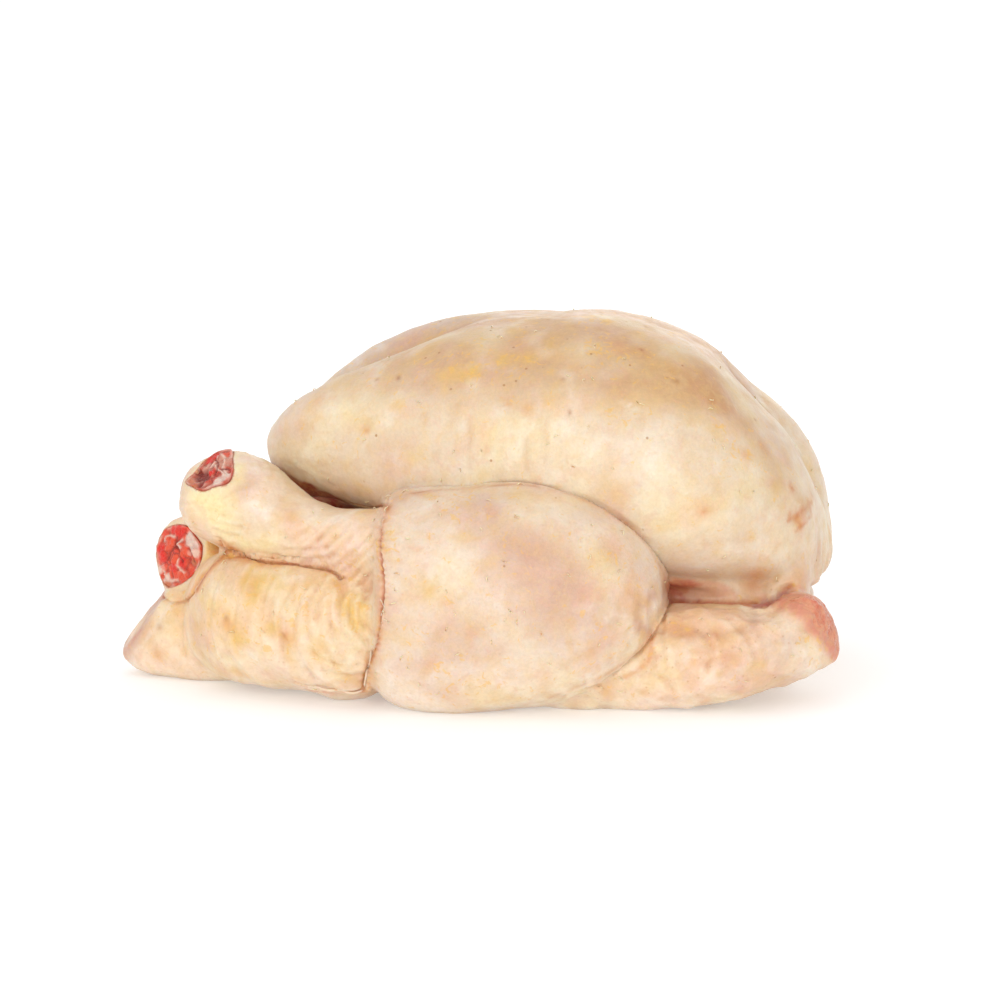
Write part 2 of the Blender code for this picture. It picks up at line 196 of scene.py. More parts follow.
def waves(along, spacing):
    """Even ridges this far apart, between -1 and 1."""
    return np.cos(2 * math.pi * along / spacing)


def blend(under, over, share):
    """One colour laid over others, by the share of each point."""
    return under + (np.asarray(over) - under) * np.asarray(share)[:, None]


def linear(red, green, blue):
    """Linear colour of a surface that looks like these screen values of 0 to 255 in the light."""
    screen = np.array((red, green, blue)) / 255
    return np.where(screen <= 0.04045, screen / 12.92, ((screen + 0.055) / 1.055) ** 2.4) / LIGHT


# Masses under the skin.


def curve_through(places, steps):
    """Points of one smooth curve through all places but the first and last, which guide it."""
    made = []
    for i in range(1, len(places) - 2):
        a, b, c, d = places[i - 1 : i + 3]
        for k in range(steps):
            t = k / steps
            made.append(
                b
                + 0.5 * t * (c - a)
                + t * t * (a - 2.5 * b + 2 * c - 0.5 * d)
                + t * t * t * (1.5 * (b - c) + 0.5 * (d - a))
            )
    made.append(places[-2])
    return made


def smooth_rows(rows):
    """Rows read from one smooth curve through the given ones, round at both ends."""
    first, last = rows[1].copy(), rows[-2].copy()
    first[3:] *= -1
    last[3:] *= -1
    return curve_through(np.vstack([first, rows, last]), RINGS_PER_SPAN)


def tube_faces(rings, count):
    """Faces of a closed tube of rings of count points between two end points."""
    faces = []
    last = 1 + (rings - 1) * count
    for j in range(count):
        k = (j + 1) % count
        faces.append((0, 1 + k, 1 + j))
        for r in range(rings - 1):
            a = 1 + r * count
            b = a + count
            faces.append((a + j, a + k, b + k, b + j))
        faces.append((last + j, last + k, last + count))
    return faces


def mass(stations, axis=(1, 0, 0), squareness=2.0, shape=None):
    """Points and faces of one closed rounded mass.

    A station is x, y, z of its middle, then half its width and how far it reaches up and
    down. Its section is square to axis. shape moves all points of the finished mass.
    """
    along = Vector(axis).normalized()
    side = Vector((0, 0, 1)).cross(along).normalized()
    up = along.cross(side)
    rows = smooth_rows(np.array(stations, float))
    exponent = 2 / squareness
    points = [rows[0][:3]]
    for x, y, z, width, over, under in rows[1:-1]:
        for j in range(RING_POINTS):
            angle = 2 * math.pi * j / RING_POINTS
            c = power(math.cos(angle), exponent)
            s = power(math.sin(angle), exponent)
            reach = over if s > 0 else under
            points.append(np.array((x, y, z)) + np.array(side) * width * c + np.array(up) * reach * s)
    points.append(rows[-1][:3])
    points = np.array(points)
    if shape:
        points = shape(points)
    return points, tube_faces(len(rows) - 2, RING_POINTS)


def level(x, low, high, z, width, y=0.0):
    """A station by the heights of its underside and top, and of its widest place."""
    return x, y, z, width, high - z, z - low


def opposite(shape, shift):
    """The same mass on the other side of the bird, moved a little."""
    points, faces = shape
    return points * MIRROR + np.array(shift), [tuple(reversed(f)) for f in faces]


def sliced(middle, facing):
    """Flattens what lies beyond a cut face onto that face."""

    def flatten(points):
        beyond = np.maximum(0, (points - np.array(middle)) @ np.array(facing))
        return points - beyond[:, None] * np.array(facing)

    return flatten


def breast_lobes(points):
    """Two halves with a groove between them, the far one fuller at the neck."""
    x, y, z = points.T
    tail_groove = TAIL_GROOVE * (1 - step(x, -34, 6)) * step(x, -74, -50)
    neck_groove = NECK_GROOVE * step(x, 74, 114)
    groove = (tail_groove + neck_groove) * bump(y, 1, GROOVE_WIDTH)
    far_drop = FAR_TIP_DROP * bump(x, -66, 14) * step(y, 0, 14)
    near_drop = NEAR_LOBE_DROP * bump(x, -30, 16) * step(-y, 0, 10)
    far_rise = FAR_SHOULDER_RISE * bump(x, 106, 14) * step(y, 4, 22)
    far_crest = FAR_CREST_RISE * bump(x, -16, 24) * step(y, 4, 18)
    lift = step(z, 50, 72) * (far_rise + far_crest - groove - far_drop - near_drop)
    skew = NECK_SKEW * y * step(x, 70, 112)
    return np.stack([x + skew, y, z + lift], axis=1)


def breast():
    return mass(
        [
            level(-72, 80.5, 80.5, 80.5, 0),
            level(-69.8, 72.6, 87.5, 81, 9),
            level(-62, 67, 97.5, 84, 18),
            level(-48, 61.6, 106.5, 85, 28),
            level(-30, 55.8, 114.5, 84, 38),
            level(-8, 50.5, 120.5, 82, 48),
            level(15, 46, 123.3, 79, 55),
            level(40, 39, 124, 75, 59.5),
            level(62, 34.5, 120.4, 71, 60),
            level(80, 33.5, 110.9, 65, 57),
            level(95, 32, 95.8, 60, 51),
            level(107, 31, 82, 54, 42.5),
            level(115, 33, 68, 50, 29),
            level(118.5, 50, 50, 50, 0),
        ],
        squareness=2.3,
        shape=breast_lobes,
    )


def carcass():
    return mass(
        [
            level(-40, 20, 20, 20, 0),
            level(-34, 0, 50, 25, 38),
            level(-10, -2, 70, 30, 46),
            level(30, -2, 70, 30, 47),
            level(70, -2, 66, 30, 42),
            level(95, 0, 60, 30, 38),
            level(108, 5, 56, 30, 33),
            level(114, 30, 30, 30, 0),
        ],
        squareness=2.6,
    )


def leg():
    """Thigh and drumstick folded together, under one skin."""
    return mass(
        [
            level(-35.5, 36, 36, 36, 0, -40),
            level(-35, 13, 56, 36, 18, -40),
            level(-32.5, 4, 63.5, 36, 25, -42),
            level(-25.5, -0.5, 69.2, 36, 29, -43),
            level(-12, -2, 71.8, 37, 31.5, -44),
            level(3, -2, 74.2, 38, 32.5, -44),
            level(16, -1, 75, 38.5, 33, -44),
            level(28, 1.8, 73.4, 39, 33, -43.5),
            level(40, 8, 68.5, 39, 31, -43),
            level(50, 16.5, 61, 39, 27, -42),
            level(57, 25, 53, 39, 19, -41),
            level(60.8, 38.5, 38.5, 38.5, 0, -40),
        ],
        squareness=2.6,
    )


def near_shank():
    return mass(
        [
            (-18, -50, 48, 0, 0, 0),
            (-22, -48.5, 49, 14, 14, 14),
            (-36, -43, 53, 12.5, 11, 11.8),
            (-48, -37.5, 55.5, 11.5, 7.4, 9.8),
            (-54, -34.5, 57, 12.2, 7.4, 11.7),
            (-60, -31.5, 58.5, 13, 8.4, 13.3),
            (-66, -28.7, 60.3, 14, 10.9, 15.7),
            (-72, -26, 62, 15, 13.8, 15.9),
            (-82, -21.5, 64, 15.5, 16, 16.5),
            (-89, -18.5, 65, 15, 14.5, 15),
            (-94, -16.5, 65.5, 12, 11.5, 12),
            (-97.5, -15, 66, 7, 7, 7.5),
            (-99, -14.5, 66, 0, 0, 0),
        ],
        axis=(-54, 26, 14),
        shape=sliced(NEAR_CUT, NEAR_FACING),
    )


def far_shank():
    return mass(
        [
            (-18, 50, 46, 0, 0, 0),
            (-22, 48.5, 47, 14, 14, 14),
            (-38, 42, 50, 12.5, 12.5, 12.5),
            (-52, 34, 48.5, 12, 12, 12),
            (-66, 25, 45, 12, 12, 12),
            (-80, 15, 42.5, 13, 13, 13),
            (-91, 6, 41.3, 13.5, 13.5, 13.5),
            (-100, -1.5, 41.3, 13.5, 13.5, 13.5),
            (-107, -6, 41, 11, 11, 11),
            (-110.5, -8.5, 40.8, 6, 6, 6),
            (-111.5, -9.5, 40.6, 0, 0, 0),
        ],
        axis=(-54, -38, -4),
        shape=sliced(FAR_CUT, FAR_FACING),
    )


def rump():
    return mass(
        [
            level(-99.5, 24, 24, 24, 0, -16),
            level(-98, 14, 34, 24, 8, -17),
            level(-93.5, 7.5, 41.5, 24, 17, -18),
            level(-85, 3.5, 46.5, 25, 24, -21),
            level(-70, 1.5, 48.5, 26, 29, -25),
            level(-54, 0, 48.5, 26, 32, -28),
            level(-42, -1, 49, 26, 32.5, -29),
            level(-33, 3, 46, 26, 27, -30),
            level(-26, 25, 25, 25, 0, -30),
        ],
        squareness=2.3,
    )


def middle_rump():
    return mass(
        [
            level(-98, 15, 15, 15, 0),
            level(-92, 0, 28, 15, 18),
            level(-70, -1, 34, 15, 32),
            level(-40, -1, 36, 15, 36),
            level(-20, 15, 15, 15, 0),
        ],
        squareness=2.3,
    )


def tail():
    return mass(
        [
            level(-122.5, 7.5, 7.5, 7.5, 0),
            level(-121.2, 4.5, 12.5, 7.5, 4.5),
            level(-116, 1.5, 21, 8.5, 10),
            level(-108, -0.5, 29.5, 11, 15),
            level(-99, -1.5, 33, 13, 20),
            level(-86, -1.5, 33, 14, 27),
            level(-70, 0, 30, 14, 28),
            level(-60, 14, 14, 14, 0),
        ],
        squareness=2.2,
        shape=sliced(TAIL_CUT, TAIL_FACING),
    )


def wing():
    """Upper arm of the wing, laid back along the side to under the leg."""
    return mass(
        [
            level(14, 5, 5, 5, 0, -46),
            level(18, 0, 12, 6, 9, -47),
            level(32, -1, 23, 11, 14, -47),
            level(48, -1, 30, 15, 16, -48),
            level(64, 0, 33.5, 17, 18, -50),
            level(80, 2, 32.8, 18, 18.5, -49.5),
            level(92, 4.5, 32.8, 20, 18.5, -47.5),
            level(102, 7.6, 36, 22, 18, -45.5),
            level(108.5, 9.8, 35.8, 21.5, 15.8, -44),
            level(113, 12, 32.6, 20, 12.5, -43),
            level(116.2, 14, 27.4, 19, 8.5, -42.5),
            level(118.2, 16, 22, 18.5, 4, -42),
            level(118.8, 18.5, 18.5, 18.5, 0, -42),
        ],
        squareness=2.2,
    )


def neck_skin():
    return mass(
        [
            level(84, 36, 36, 36, 0),
            level(90, 6, 62, 36, 34),
            level(102, 3, 64, 36, 39),
            level(110, 10, 58, 37, 31),
            level(115, 38, 38, 38, 0),
        ],
        squareness=2.4,
    )


def recess():
    """The shallow pocket under the breast, in front of the leg and above the wing."""
    return mass(
        [
            level(50, 34, 34, 34, 0, -60),
            level(54, 28, 39, 34, 21, -60),
            level(60, 27, 39.6, 34, 23.5, -60),
            level(70, 27, 39.4, 34, 23.5, -60),
            level(79, 27, 38.8, 34, 21, -60),
            level(86, 28, 37.6, 34, 17.5, -60),
            level(91, 33, 33, 33, 0, -60),
        ],
        squareness=4.0,
    )


def cavity():
    """The drawn inside, open between the hocks and under the tip of the breast."""
    return mass(
        [
            level(-60, 56, 56, 56, 0, 4),
            level(-55, 47, 65, 56, 12, 4),
            level(-42, 40, 67, 55, 19, 3),
            level(-22, 30, 71, 51, 25, 1),
            level(10, 22, 76, 48, 29),
            level(42, 22, 76, 48, 29),
            level(64, 30, 66, 48, 21),
            level(74, 48, 48, 48, 0),
        ]
    )


LIMBS = ("leg", "shank", "rump", "tail", "wing")


def regions_of_bird():
    """The masses by the part of the bird whose skin they carry."""
    return {
        "breast": [breast()],
        "leg": [leg(), opposite(leg(), FAR_LEG_SHIFT)],
        "shank": [near_shank(), far_shank()],
        "rump": [rump(), opposite(rump(), FAR_RUMP_SHIFT), middle_rump()],
        "tail": [tail()],
        "wing": [wing(), opposite(wing(), FAR_WING_SHIFT)],
        "flank": [carcass(), neck_skin()],
        "recess": [recess(), opposite(recess(), FAR_WING_SHIFT)],
        "cavity": [cavity()],
    }


def parted(regions):
    """The same masses with the near shank lowered under the tip of the breast."""
    points, faces = regions["shank"][0]
    x, _, z = points.T
    drop = TIP_GAP * bump(x, -63, 14) * step(z, 60, 68)
    lowered = points - drop[:, None] * (0, 0, 1)
    return {**regions, "shank": [(lowered, faces), *regions["shank"][1:]]}


# Meshes.


def mesh_object(name, shapes):
    """One mesh object that holds the given masses side by side, in metres."""
    points, faces = [], []
    start = 0
    for shape_points, shape_faces in shapes:
        points.append(np.asarray(shape_points) * MM)
        faces += [tuple(start + i for i in f) for f in shape_faces]
        start += len(shape_points)
    mesh = bpy.data.meshes.new(name)
    mesh.from_pydata(np.vstack(points).tolist(), [], faces)
    made = bpy.data.objects.new(name, mesh)
    bpy.context.scene.collection.objects.link(made)
    return made


def points_of(piece):
    """The piece's points in millimetres."""
    flat = np.empty(len(piece.data.vertices) * 3)
    piece.data.vertices.foreach_get("co", flat)
    return flat.reshape(-1, 3) / MM


def normals_of(piece):
    """Directions out of the piece at its points."""
    flat = np.empty(len(piece.data.vertices) * 3)
    piece.data.vertices.foreach_get("normal", flat)
    return flat.reshape(-1, 3)


def set_points(piece, points):
    piece.data.vertices.foreach_set("co", (points * MM).ravel())
    piece.data.update()


def apply_modifiers(piece):
    graph = bpy.context.evaluated_depsgraph_get()
    made = bpy.data.meshes.new_from_object(piece.evaluated_get(graph))
    piece.modifiers.clear()
    piece.data = made


def one_skin(piece, voxel):
    """Joins what the object holds under one closed skin."""
    remesh = piece.modifiers.new("one_skin", "REMESH")
    remesh.mode = "VOXEL"
    remesh.voxel_size = voxel * MM
    apply_modifiers(piece)


def refine(piece, chosen):
    """Splits each face whose points are all chosen into four."""
    shape = bmesh.new()
    shape.from_mesh(piece.data)
    edges = set()
    for face in shape.faces:
        if all(chosen[v.index] for v in face.verts):
            edges.update(face.edges)
    bmesh.ops.subdivide_edges(shape, edges=list(edges), cuts=1, use_grid_fill=True)
    shape.to_mesh(piece.data)
    shape.free()


def add_masses(piece, shapes):
    """Puts more masses beside what the object holds."""
    other = mesh_object("masses", shapes)
    shape = bmesh.new()
    shape.from_mesh(piece.data)
    shape.from_mesh(other.data)
    shape.to_mesh(piece.data)
    shape.free()
    bpy.data.objects.remove(other)


def cut_away(piece, shape):
    cutter = mesh_object("cutter", [shape])
    cut = piece.modifiers.new("cut", "BOOLEAN")
    cut.operation = "DIFFERENCE"
    cut.object = cutter
    apply_modifiers(piece)
    bpy.data.objects.remove(cutter)


def rest_flat(piece):
    """Cuts the underside off along the surface that the bird lies on."""
    shape = bmesh.new()
    shape.from_mesh(piece.data)
    everything = shape.verts[:] + shape.edges[:] + shape.faces[:]
    cut = bmesh.ops.bisect_plane(
        shape, geom=everything, plane_co=(0, 0, 0), plane_no=(0, 0, 1), clear_inner=True
    )
    rim = [e for e in cut["geom_cut"] if isinstance(e, bmesh.types.BMEdge)]
    bmesh.ops.triangle_fill(shape, edges=rim, use_beauty=True, normal=(0, 0, -1))
    bmesh.ops.recalc_face_normals(shape, faces=shape.faces[:])
    shape.to_mesh(piece.data)
    shape.free()


class Evener:
    """Averages values over the neighbours of each point of a mesh."""

    def __init__(self, mesh):
        ends = np.empty(len(mesh.edges) * 2, int)
        mesh.edges.foreach_get("vertices", ends)
        self.a, self.b = ends.reshape(-1, 2).T
        self.count = len(mesh.vertices)
        self.degree = np.bincount(np.concatenate([self.a, self.b]), minlength=self.count)

    def once(self, values):
        def gather(column):
            total = np.bincount(self.a, weights=column[self.b], minlength=self.count)
            return total + np.bincount(self.b, weights=column[self.a], minlength=self.count)

        if values.ndim == 1:
            return gather(values) / self.degree
        return np.stack([gather(column) for column in values.T], axis=1) / self.degree[:, None]

    def smooth(self, values, rounds):
        for _ in range(rounds):
            values = 0.5 * values + 0.5 * self.once(values)
        return values


# Places by pixels of the photograph.


def photo_ray(pixel):
    """Direction from the eye through a pixel."""
    half = PHOTO_SIDE / 2
    across = Vector((1, 0, 0)) * (pixel[0] - half) * MM_PER_PIXEL
    upwards = UPWARD * (half - pixel[1]) * MM_PER_PIXEL
    return (FORWARD * DISTANCE + across + upwards).normalized()


def on_plane(pixel, middle, facing):
    """Where the ray through a pixel meets a plane."""
    ray = photo_ray(pixel)
    return EYE + ray * ((middle - EYE).dot(facing) / ray.dot(facing))


def on_skin(pixel, tree):
    """Where the skin shows at a pixel, or None beside the bird."""
    return tree.ray_cast(EYE, photo_ray(pixel))[0]


def smooth_line(places, steps=6):
    """Points of one smooth curve through the given ones."""
    ends = [2 * places[0] - places[1], *places, 2 * places[-1] - places[-2]]
    return np.array([list(p) for p in curve_through(ends, steps)])


def keel_lines(tree):
    """The groove along the middle of the breast: over its tip, and down its neck end."""
    down, back = Vector((0, 0, -1)), Vector((-1, 0, 0))
    tip = [(Vector((x, 1, 200)), down) for x in range(-64, 14, 2)]
    neck = [(Vector((x, -1, 200)), down) for x in range(82, 108, 2)]
    neck += [(Vector((300, -1, z)), back) for z in range(88, 44, -2)]
    return [np.array([list(tree.ray_cast(*ray)[0]) for ray in line]) for line in (tip, neck)]


def skin_line(pixels, tree):
    """A smooth line on the skin through the given pixels."""
    line = smooth_line([np.array(p, float) for p in pixels])
    found = [on_skin(p, tree) for p in line]
    return np.array([list(p) for p in found if p is not None])


def laid_on(places, tree):
    """The nearest places on the skin."""
    return np.array([list(tree.find_nearest(p)[0]) for p in places.tolist()])


def across(line, tree):
    """The same line on the side that the photograph doesn't show."""
    return laid_on(line * MIRROR, tree)


def skin_lines(pixels, tree, both):
    """The line on the skin through the given pixels, and its far copy where both sides have it."""
    line = skin_line(pixels, tree)
    return [line, across(line, tree)] if both else [line]


def nearest_on(points, a, b):
    """The nearest places to points on the straight run from a to b, and their shares of it."""
    run = b - a
    share = np.clip(((points - a) @ run) / max(run @ run, 1e-9), 0, 1)
    return a + share[:, None] * run, share


def line_reach(points, line, reach=15):
    """Which points lie near a line of close points, how far, the nearest place and its share."""
    low, high = line.min(0) - reach, line.max(0) + reach
    close = np.flatnonzero(((points > low) & (points < high)).all(axis=1))
    near = points[close]
    gap = np.full(len(close), np.inf)
    foot = np.zeros((len(close), points.shape[1]))
    along = np.zeros(len(close))
    for i, (a, b) in enumerate(zip(line[:-1], line[1:])):
        place, share = nearest_on(near, a, b)
        away = np.linalg.norm(near - place, axis=1)
        closer = away < gap
        gap[closer] = away[closer]
        foot[closer] = place[closer]
        along[closer] = (i + share[closer]) / (len(line) - 1)
    return close, gap, foot, along


def line_distance(points, line):
    """Distance of each point to a line, infinite where it is far."""
    best = np.full(len(points), np.inf)
    close, gap, _, _ = line_reach(points, line)
    best[close] = gap
    return best


def pixels_of(points):
    """Pixels at which the camera of the photograph sees points."""
    away = points - np.array(EYE)
    scale = DISTANCE / (away @ np.array(FORWARD)) / MM_PER_PIXEL
    half = PHOTO_SIDE / 2
    return np.stack([half + away[:, 0] * scale, half - (away @ np.array(UPWARD)) * scale], axis=1)


def right_of(points, pixels):
    """1 for points on the right of a line of pixels as it runs, and -1 on its left."""
    places = pixels_of(points)
    line = smooth_line([np.array(p, float) for p in pixels])
    best = np.full(len(points), np.inf)
    sign = np.ones(len(points))
    for a, b in zip(line[:-1], line[1:]):
        gap = np.linalg.norm(places - nearest_on(places, a, b)[0], axis=1)
        closer = gap < best
        best[closer] = gap[closer]
        run = b - a
        away = places - a
        cross = run[0] * away[:, 1] - run[1] * away[:, 0]
        sign[closer] = np.where(cross[closer] > 0, 1.0, -1.0)
    return sign


# Relief of the skin.

# Where skin lies over other skin, by pixels. The upper skin is on the right of the line.
THIGH_EDGE = ((364, 692), (366, 680), (370, 664), (375, 650), (379, 636), (382, 615), (384, 595),
              (384, 580), (382, 559), (381, 541), (383, 525), (388, 509))
LEG_EDGE = ((388, 509), (394, 500), (403, 495), (421, 492), (440, 490), (460, 489), (480, 487),
            (503, 485), (525, 485), (543, 488), (560, 492), (580, 498), (600, 507), (618, 519),
            (635, 532), (647, 545), (656, 560), (664, 575), (667, 590), (667, 603), (663, 616),
            (658, 626), (650, 637), (638, 650), (622, 664), (605, 675), (590, 682), (570, 690),
            (550, 698))
SHANK_LOW = ((345, 578), (336, 572), (325, 568), (302, 565), (277, 563), (256, 560), (242, 555),
             (230, 547), (220, 538))
RUMP_LEFT = ((186, 660), (182, 642), (184, 618), (190, 600), (199, 582))
RUMP_TOP = ((196, 592), (204, 578), (213, 566), (228, 553), (236, 551))
FAR_KNOB_LOW = ((198, 589), (186, 600), (172, 602), (162, 595))
BREAST_LOW = ((390, 507), (375, 507), (362, 505), (350, 502))

# Rise of the upper skin, depth of the fold, how far the skin hangs over it and height of the small
# folds across it in millimetres, strength of its painted shade, whether the far side has it too, line.
OVERLAPS = (
    (0.7, 1.8, 0.9, 0.32, 1.5, True, THIGH_EDGE),
    (0.9, 1.4, 1.0, 0.1, 0.6, True, LEG_EDGE),
    (0.9, 1.8, 1.1, 0.22, 1.3, False, SHANK_LOW),
    (0.4, 0.8, 0.3, 0.1, 0.0, False, RUMP_LEFT),
    (0.5, 1.4, 0.6, 0.0, 1.2, False, RUMP_TOP),
    (0.4, 1.2, 0.5, 0.0, 1.1, False, FAR_KNOB_LOW),
    (0.3, 1.2, 0.3, 0.0, 1.0, False, BREAST_LOW),
)

# Section of a fold: where the lip is full and how far it reaches, half widths of the groove on the
# lower and the upper skin, how far from the edge the overhang and the small folds set in, how far
# the overhang reaches, and spacing and reach of the small folds.
LIP = 1.5
LIP_REACH = 11.0
GROOVE_BELOW = 1.15
GROOVE_ABOVE = 0.6
EDGE = 0.8
HANG_REACH = 2.0
SMALL_FOLD = 2.4
FRILL_REACH = 3.2

# Creases in one skin by pixels: depth and width in millimetres, then the line.
CREASES = (
    (0.5, 1.1, ((655, 655), (650, 668), (636, 676), (622, 680), (606, 684))),
    (1.7, 1.3, ((748, 607), (766, 606), (778, 598), (790, 590))),
    (0.8, 1.0, ((598, 684), (587, 687), (576, 690), (566, 695))),
    (0.6, 0.9, ((664, 618), (661, 635), (662, 652), (664, 668))),
    (0.5, 1.0, ((640, 677), (652, 675), (664, 680), (672, 690))),
    (0.7, 0.8, ((296, 684), (313, 687), (335, 690), (352, 691), (364, 688))),
    (0.6, 1.0, ((728, 620), (742, 632), (752, 646), (756, 662))),
    (0.5, 1.0, ((690, 624), (704, 634), (712, 650), (708, 668))),
)

# Shallow wrinkles by pixels: bent round the lower end of the drumstick, along the near shank, and
# on the breast.
RUMP_WRINKLES = (
    ((340, 576), (330, 596), (329, 617), (335, 640), (346, 660)),
    ((333, 580), (321, 600), (319, 622), (325, 646), (336, 668)),
    ((325, 575), (310, 600), (307, 628), (314, 655), (326, 676)),
    ((315, 578), (299, 602), (294, 632), (301, 660), (313, 681)),
    ((348, 588), (341, 602), (341, 620), (348, 638), (360, 652)),
    ((357, 592), (351, 604), (351, 618), (357, 632), (368, 643)),
    ((366, 598), (361, 607), (361, 617), (366, 626), (374, 634)),
    ((298, 580), (283, 603), (279, 634), (284, 664)),
    ((276, 575), (263, 600), (259, 630), (264, 660)),
    ((252, 570), (239, 596), (235, 628), (240, 657)),
    ((228, 566), (216, 592), (211, 622), (214, 650)),
    ((302, 645), (318, 657), (338, 664), (360, 664)),
    ((306, 662), (324, 672), (344, 676), (364, 674)),
)

SHANK_WRINKLES = (
    ((275, 552), (295, 555), (318, 556), (340, 553)),
    ((285, 546), (305, 548), (328, 546)),
    ((336, 566), (348, 556), (360, 545), (372, 533)),
    ((345, 570), (357, 560), (368, 549), (376, 540)),
    ((352, 577), (362, 567), (372, 558)),
    ((330, 556), (342, 546), (352, 536)),
    ((326, 548), (338, 537), (350, 526)),
    ((318, 541), (329, 530), (339, 520)),
    ((352, 590), (362, 580), (372, 571)),
    ((290, 540), (303, 532), (315, 522)),
    ((300, 552), (312, 545), (323, 536)),
    ((215, 512), (228, 516), (243, 517)),
    ((212, 520), (226, 525), (242, 526)),
    ((213, 528), (227, 534), (243, 535)),
)

BREAST_LINES = (
    ((470, 420), (472, 445), (472, 468)),
    ((484, 424), (485, 440), (486, 452)),
    ((497, 430), (497, 455), (498, 478)),
    ((515, 420), (516, 448), (516, 478)),
    ((526, 428), (527, 450), (527, 476)),
    ((545, 425), (546, 450), (548, 478)),
    ((562, 432), (562, 452), (564, 472)),
    ((776, 548), (795, 538), (812, 523)),
    ((770, 538), (790, 524), (806, 508)),
    ((742, 500), (770, 504), (800, 500)),
)

# Depth and half width in millimetres, and the lines.
WRINKLES = (
    (0.45, 0.8, RUMP_WRINKLES),
    (0.45, 0.7, SHANK_WRINKLES),
    (0.2, 1.2, BREAST_LINES),
)


def crease_distance(points):
    """How far forward of the crease between thigh and rump each point lies."""
    return points[:, 0] - np.interp(points[:, 2], CREASE_HEIGHTS, CREASE_XS)


def gathers(points):
    """Small folds of skin that run out of the crease on both sides."""
    outer = step(np.abs(points[:, 1]), 38, 52)
    away = crease_distance(points)
    sway = 1.5 * swell(points, 6) + 0.12 * away
    deep = 0.6 + 0.5 * swell(points, 9, 4.1)
    fade = np.where(away > 0, np.exp(-away / THIGH_REACH), np.exp(away / RUMP_REACH))
    return GATHER_HEIGHT * outer * waves(points[:, 2] + sway, GATHER_SPACING) * fade * deep


def crepe(points, size, stretch, seed):
    """Fine wrinkles with sharp ridges, drawn out by stretch along each axis."""
    drawn = points / np.array(stretch)
    ridges = 1 - 2.4 * np.abs(swell(drawn, size, seed))
    return ridges * (0.6 + 0.6 * swell(points, 3 * size, seed + 3))


def skin_crepe(points):
    """Wrinkled skin of the shanks, the rump, the tail and the wings."""
    x, y, z = points.T
    low = 1 - step(z, 46, 52)
    parts = {
        "shank": (1 - step(x, -52, -40)) * step(z, 48, 54),
        "rump": (1 - step(x, -44, -34)) * low,
        "knee": bump(x, -44, 13) * low * step(np.abs(y), 10, 24),
        "tail": 1 - step(x, -104, -92),
        "wing": step(x, 22, 40) * step(np.abs(y), 40, 50) * (1 - step(z, 38, 46)),
    }
    return sum(
        height * parts[part] * crepe(points, size, stretch, seed)
        for part, height, size, stretch, seed in CREPES
    )


def rump_folds(points):
    """Shallow folds that bend round the lower end of the drumstick."""
    x, y, z = points.T
    inside = step(x, -94, -72) * (1 - step(x, -40, -33)) * step(np.abs(y), 26, 40)
    inside = inside * (1 - step(z, 40, 47))
    radius = np.hypot(x - RUMP_FOLD_X, z - RUMP_FOLD_Z)
    slow = RUMP_FOLD_HEIGHT * waves(radius + 4 * swell(points, 16), RUMP_FOLD_SPACING)
    quick = FINE_FOLD_HEIGHT * waves(radius + 2.5 * swell(points, 9, 2.3), FINE_FOLD_SPACING)
    patchy = step(swell(points, 12, 8.2), -0.2, 0.35)
    return inside * (slow + quick * patchy)


def wing_lumps(points):
    """Lumps of the wings' flesh that show through their skin."""
    x, y, z = points.T
    inside = step(x, 20, 40) * step(np.abs(y), 42, 52) * (1 - step(z, 36, 44))
    return inside * (layered(points * (0.8, 1, 1.25), WING_LUMPS) + layered(points, WING_GRAIN))


def neck_tuck(points):
    """Neck skin folded down over the front end and tucked under in small pleats."""
    x, y, z = points.T
    front = step(x, 92, 106) * (1 - step(np.abs(y), 16, 30))
    hem = NECK_HEM + 3 * swell(np.stack([y, y * 0, y * 0], axis=1), 17, 3.0)
    broad = PLEAT_HEIGHT * waves(y + 2 * swell(points, 12), PLEAT_SPACING)
    fine = FINE_PLEAT_HEIGHT * waves(y + 1.5 * swell(points, 7, 5.5), FINE_PLEAT_SPACING)
    flap = NECK_FLAP_HEIGHT * step(z, hem, hem + 2.5) * (1 - step(z, hem + 8, hem + 24))
    tuck = NECK_TUCK_DEPTH * bump(z, hem - 1, 2.2)
    return front * (flap - tuck + (broad + fine) * bump(z, hem + 7, 8))


def knob_lines(points):
    """Fine rings round the knobs of both hocks."""
    height = np.zeros(len(points))
    for middle, facing, seed in ((NEAR_CUT, NEAR_FACING, 1.1), (FAR_CUT, FAR_FACING, 6.4)):
        away = points - np.array(middle)
        along = -(away @ np.array(facing))
        inside = (1 - step(np.linalg.norm(away, axis=1), 20, 30)) * step(along, 1.5, 4)
        rings = waves(along + 1.6 * swell(points, 7, seed), KNOB_RING_SPACING)
        height += KNOB_RING_HEIGHT * inside * rings
    return height


def pressed(points, lines, depth, width):
    """Grooves along lines, with a low lip on both sides."""
    height = np.zeros(len(points))
    for line in lines:
        gap = line_distance(points, line)
        groove = bump(gap, 0, width)
        lip = bump(gap, 2.3 * width, 1.1 * width)
        height = np.where(np.isfinite(gap), height - depth * (groove - 0.35 * lip), height)
    return height


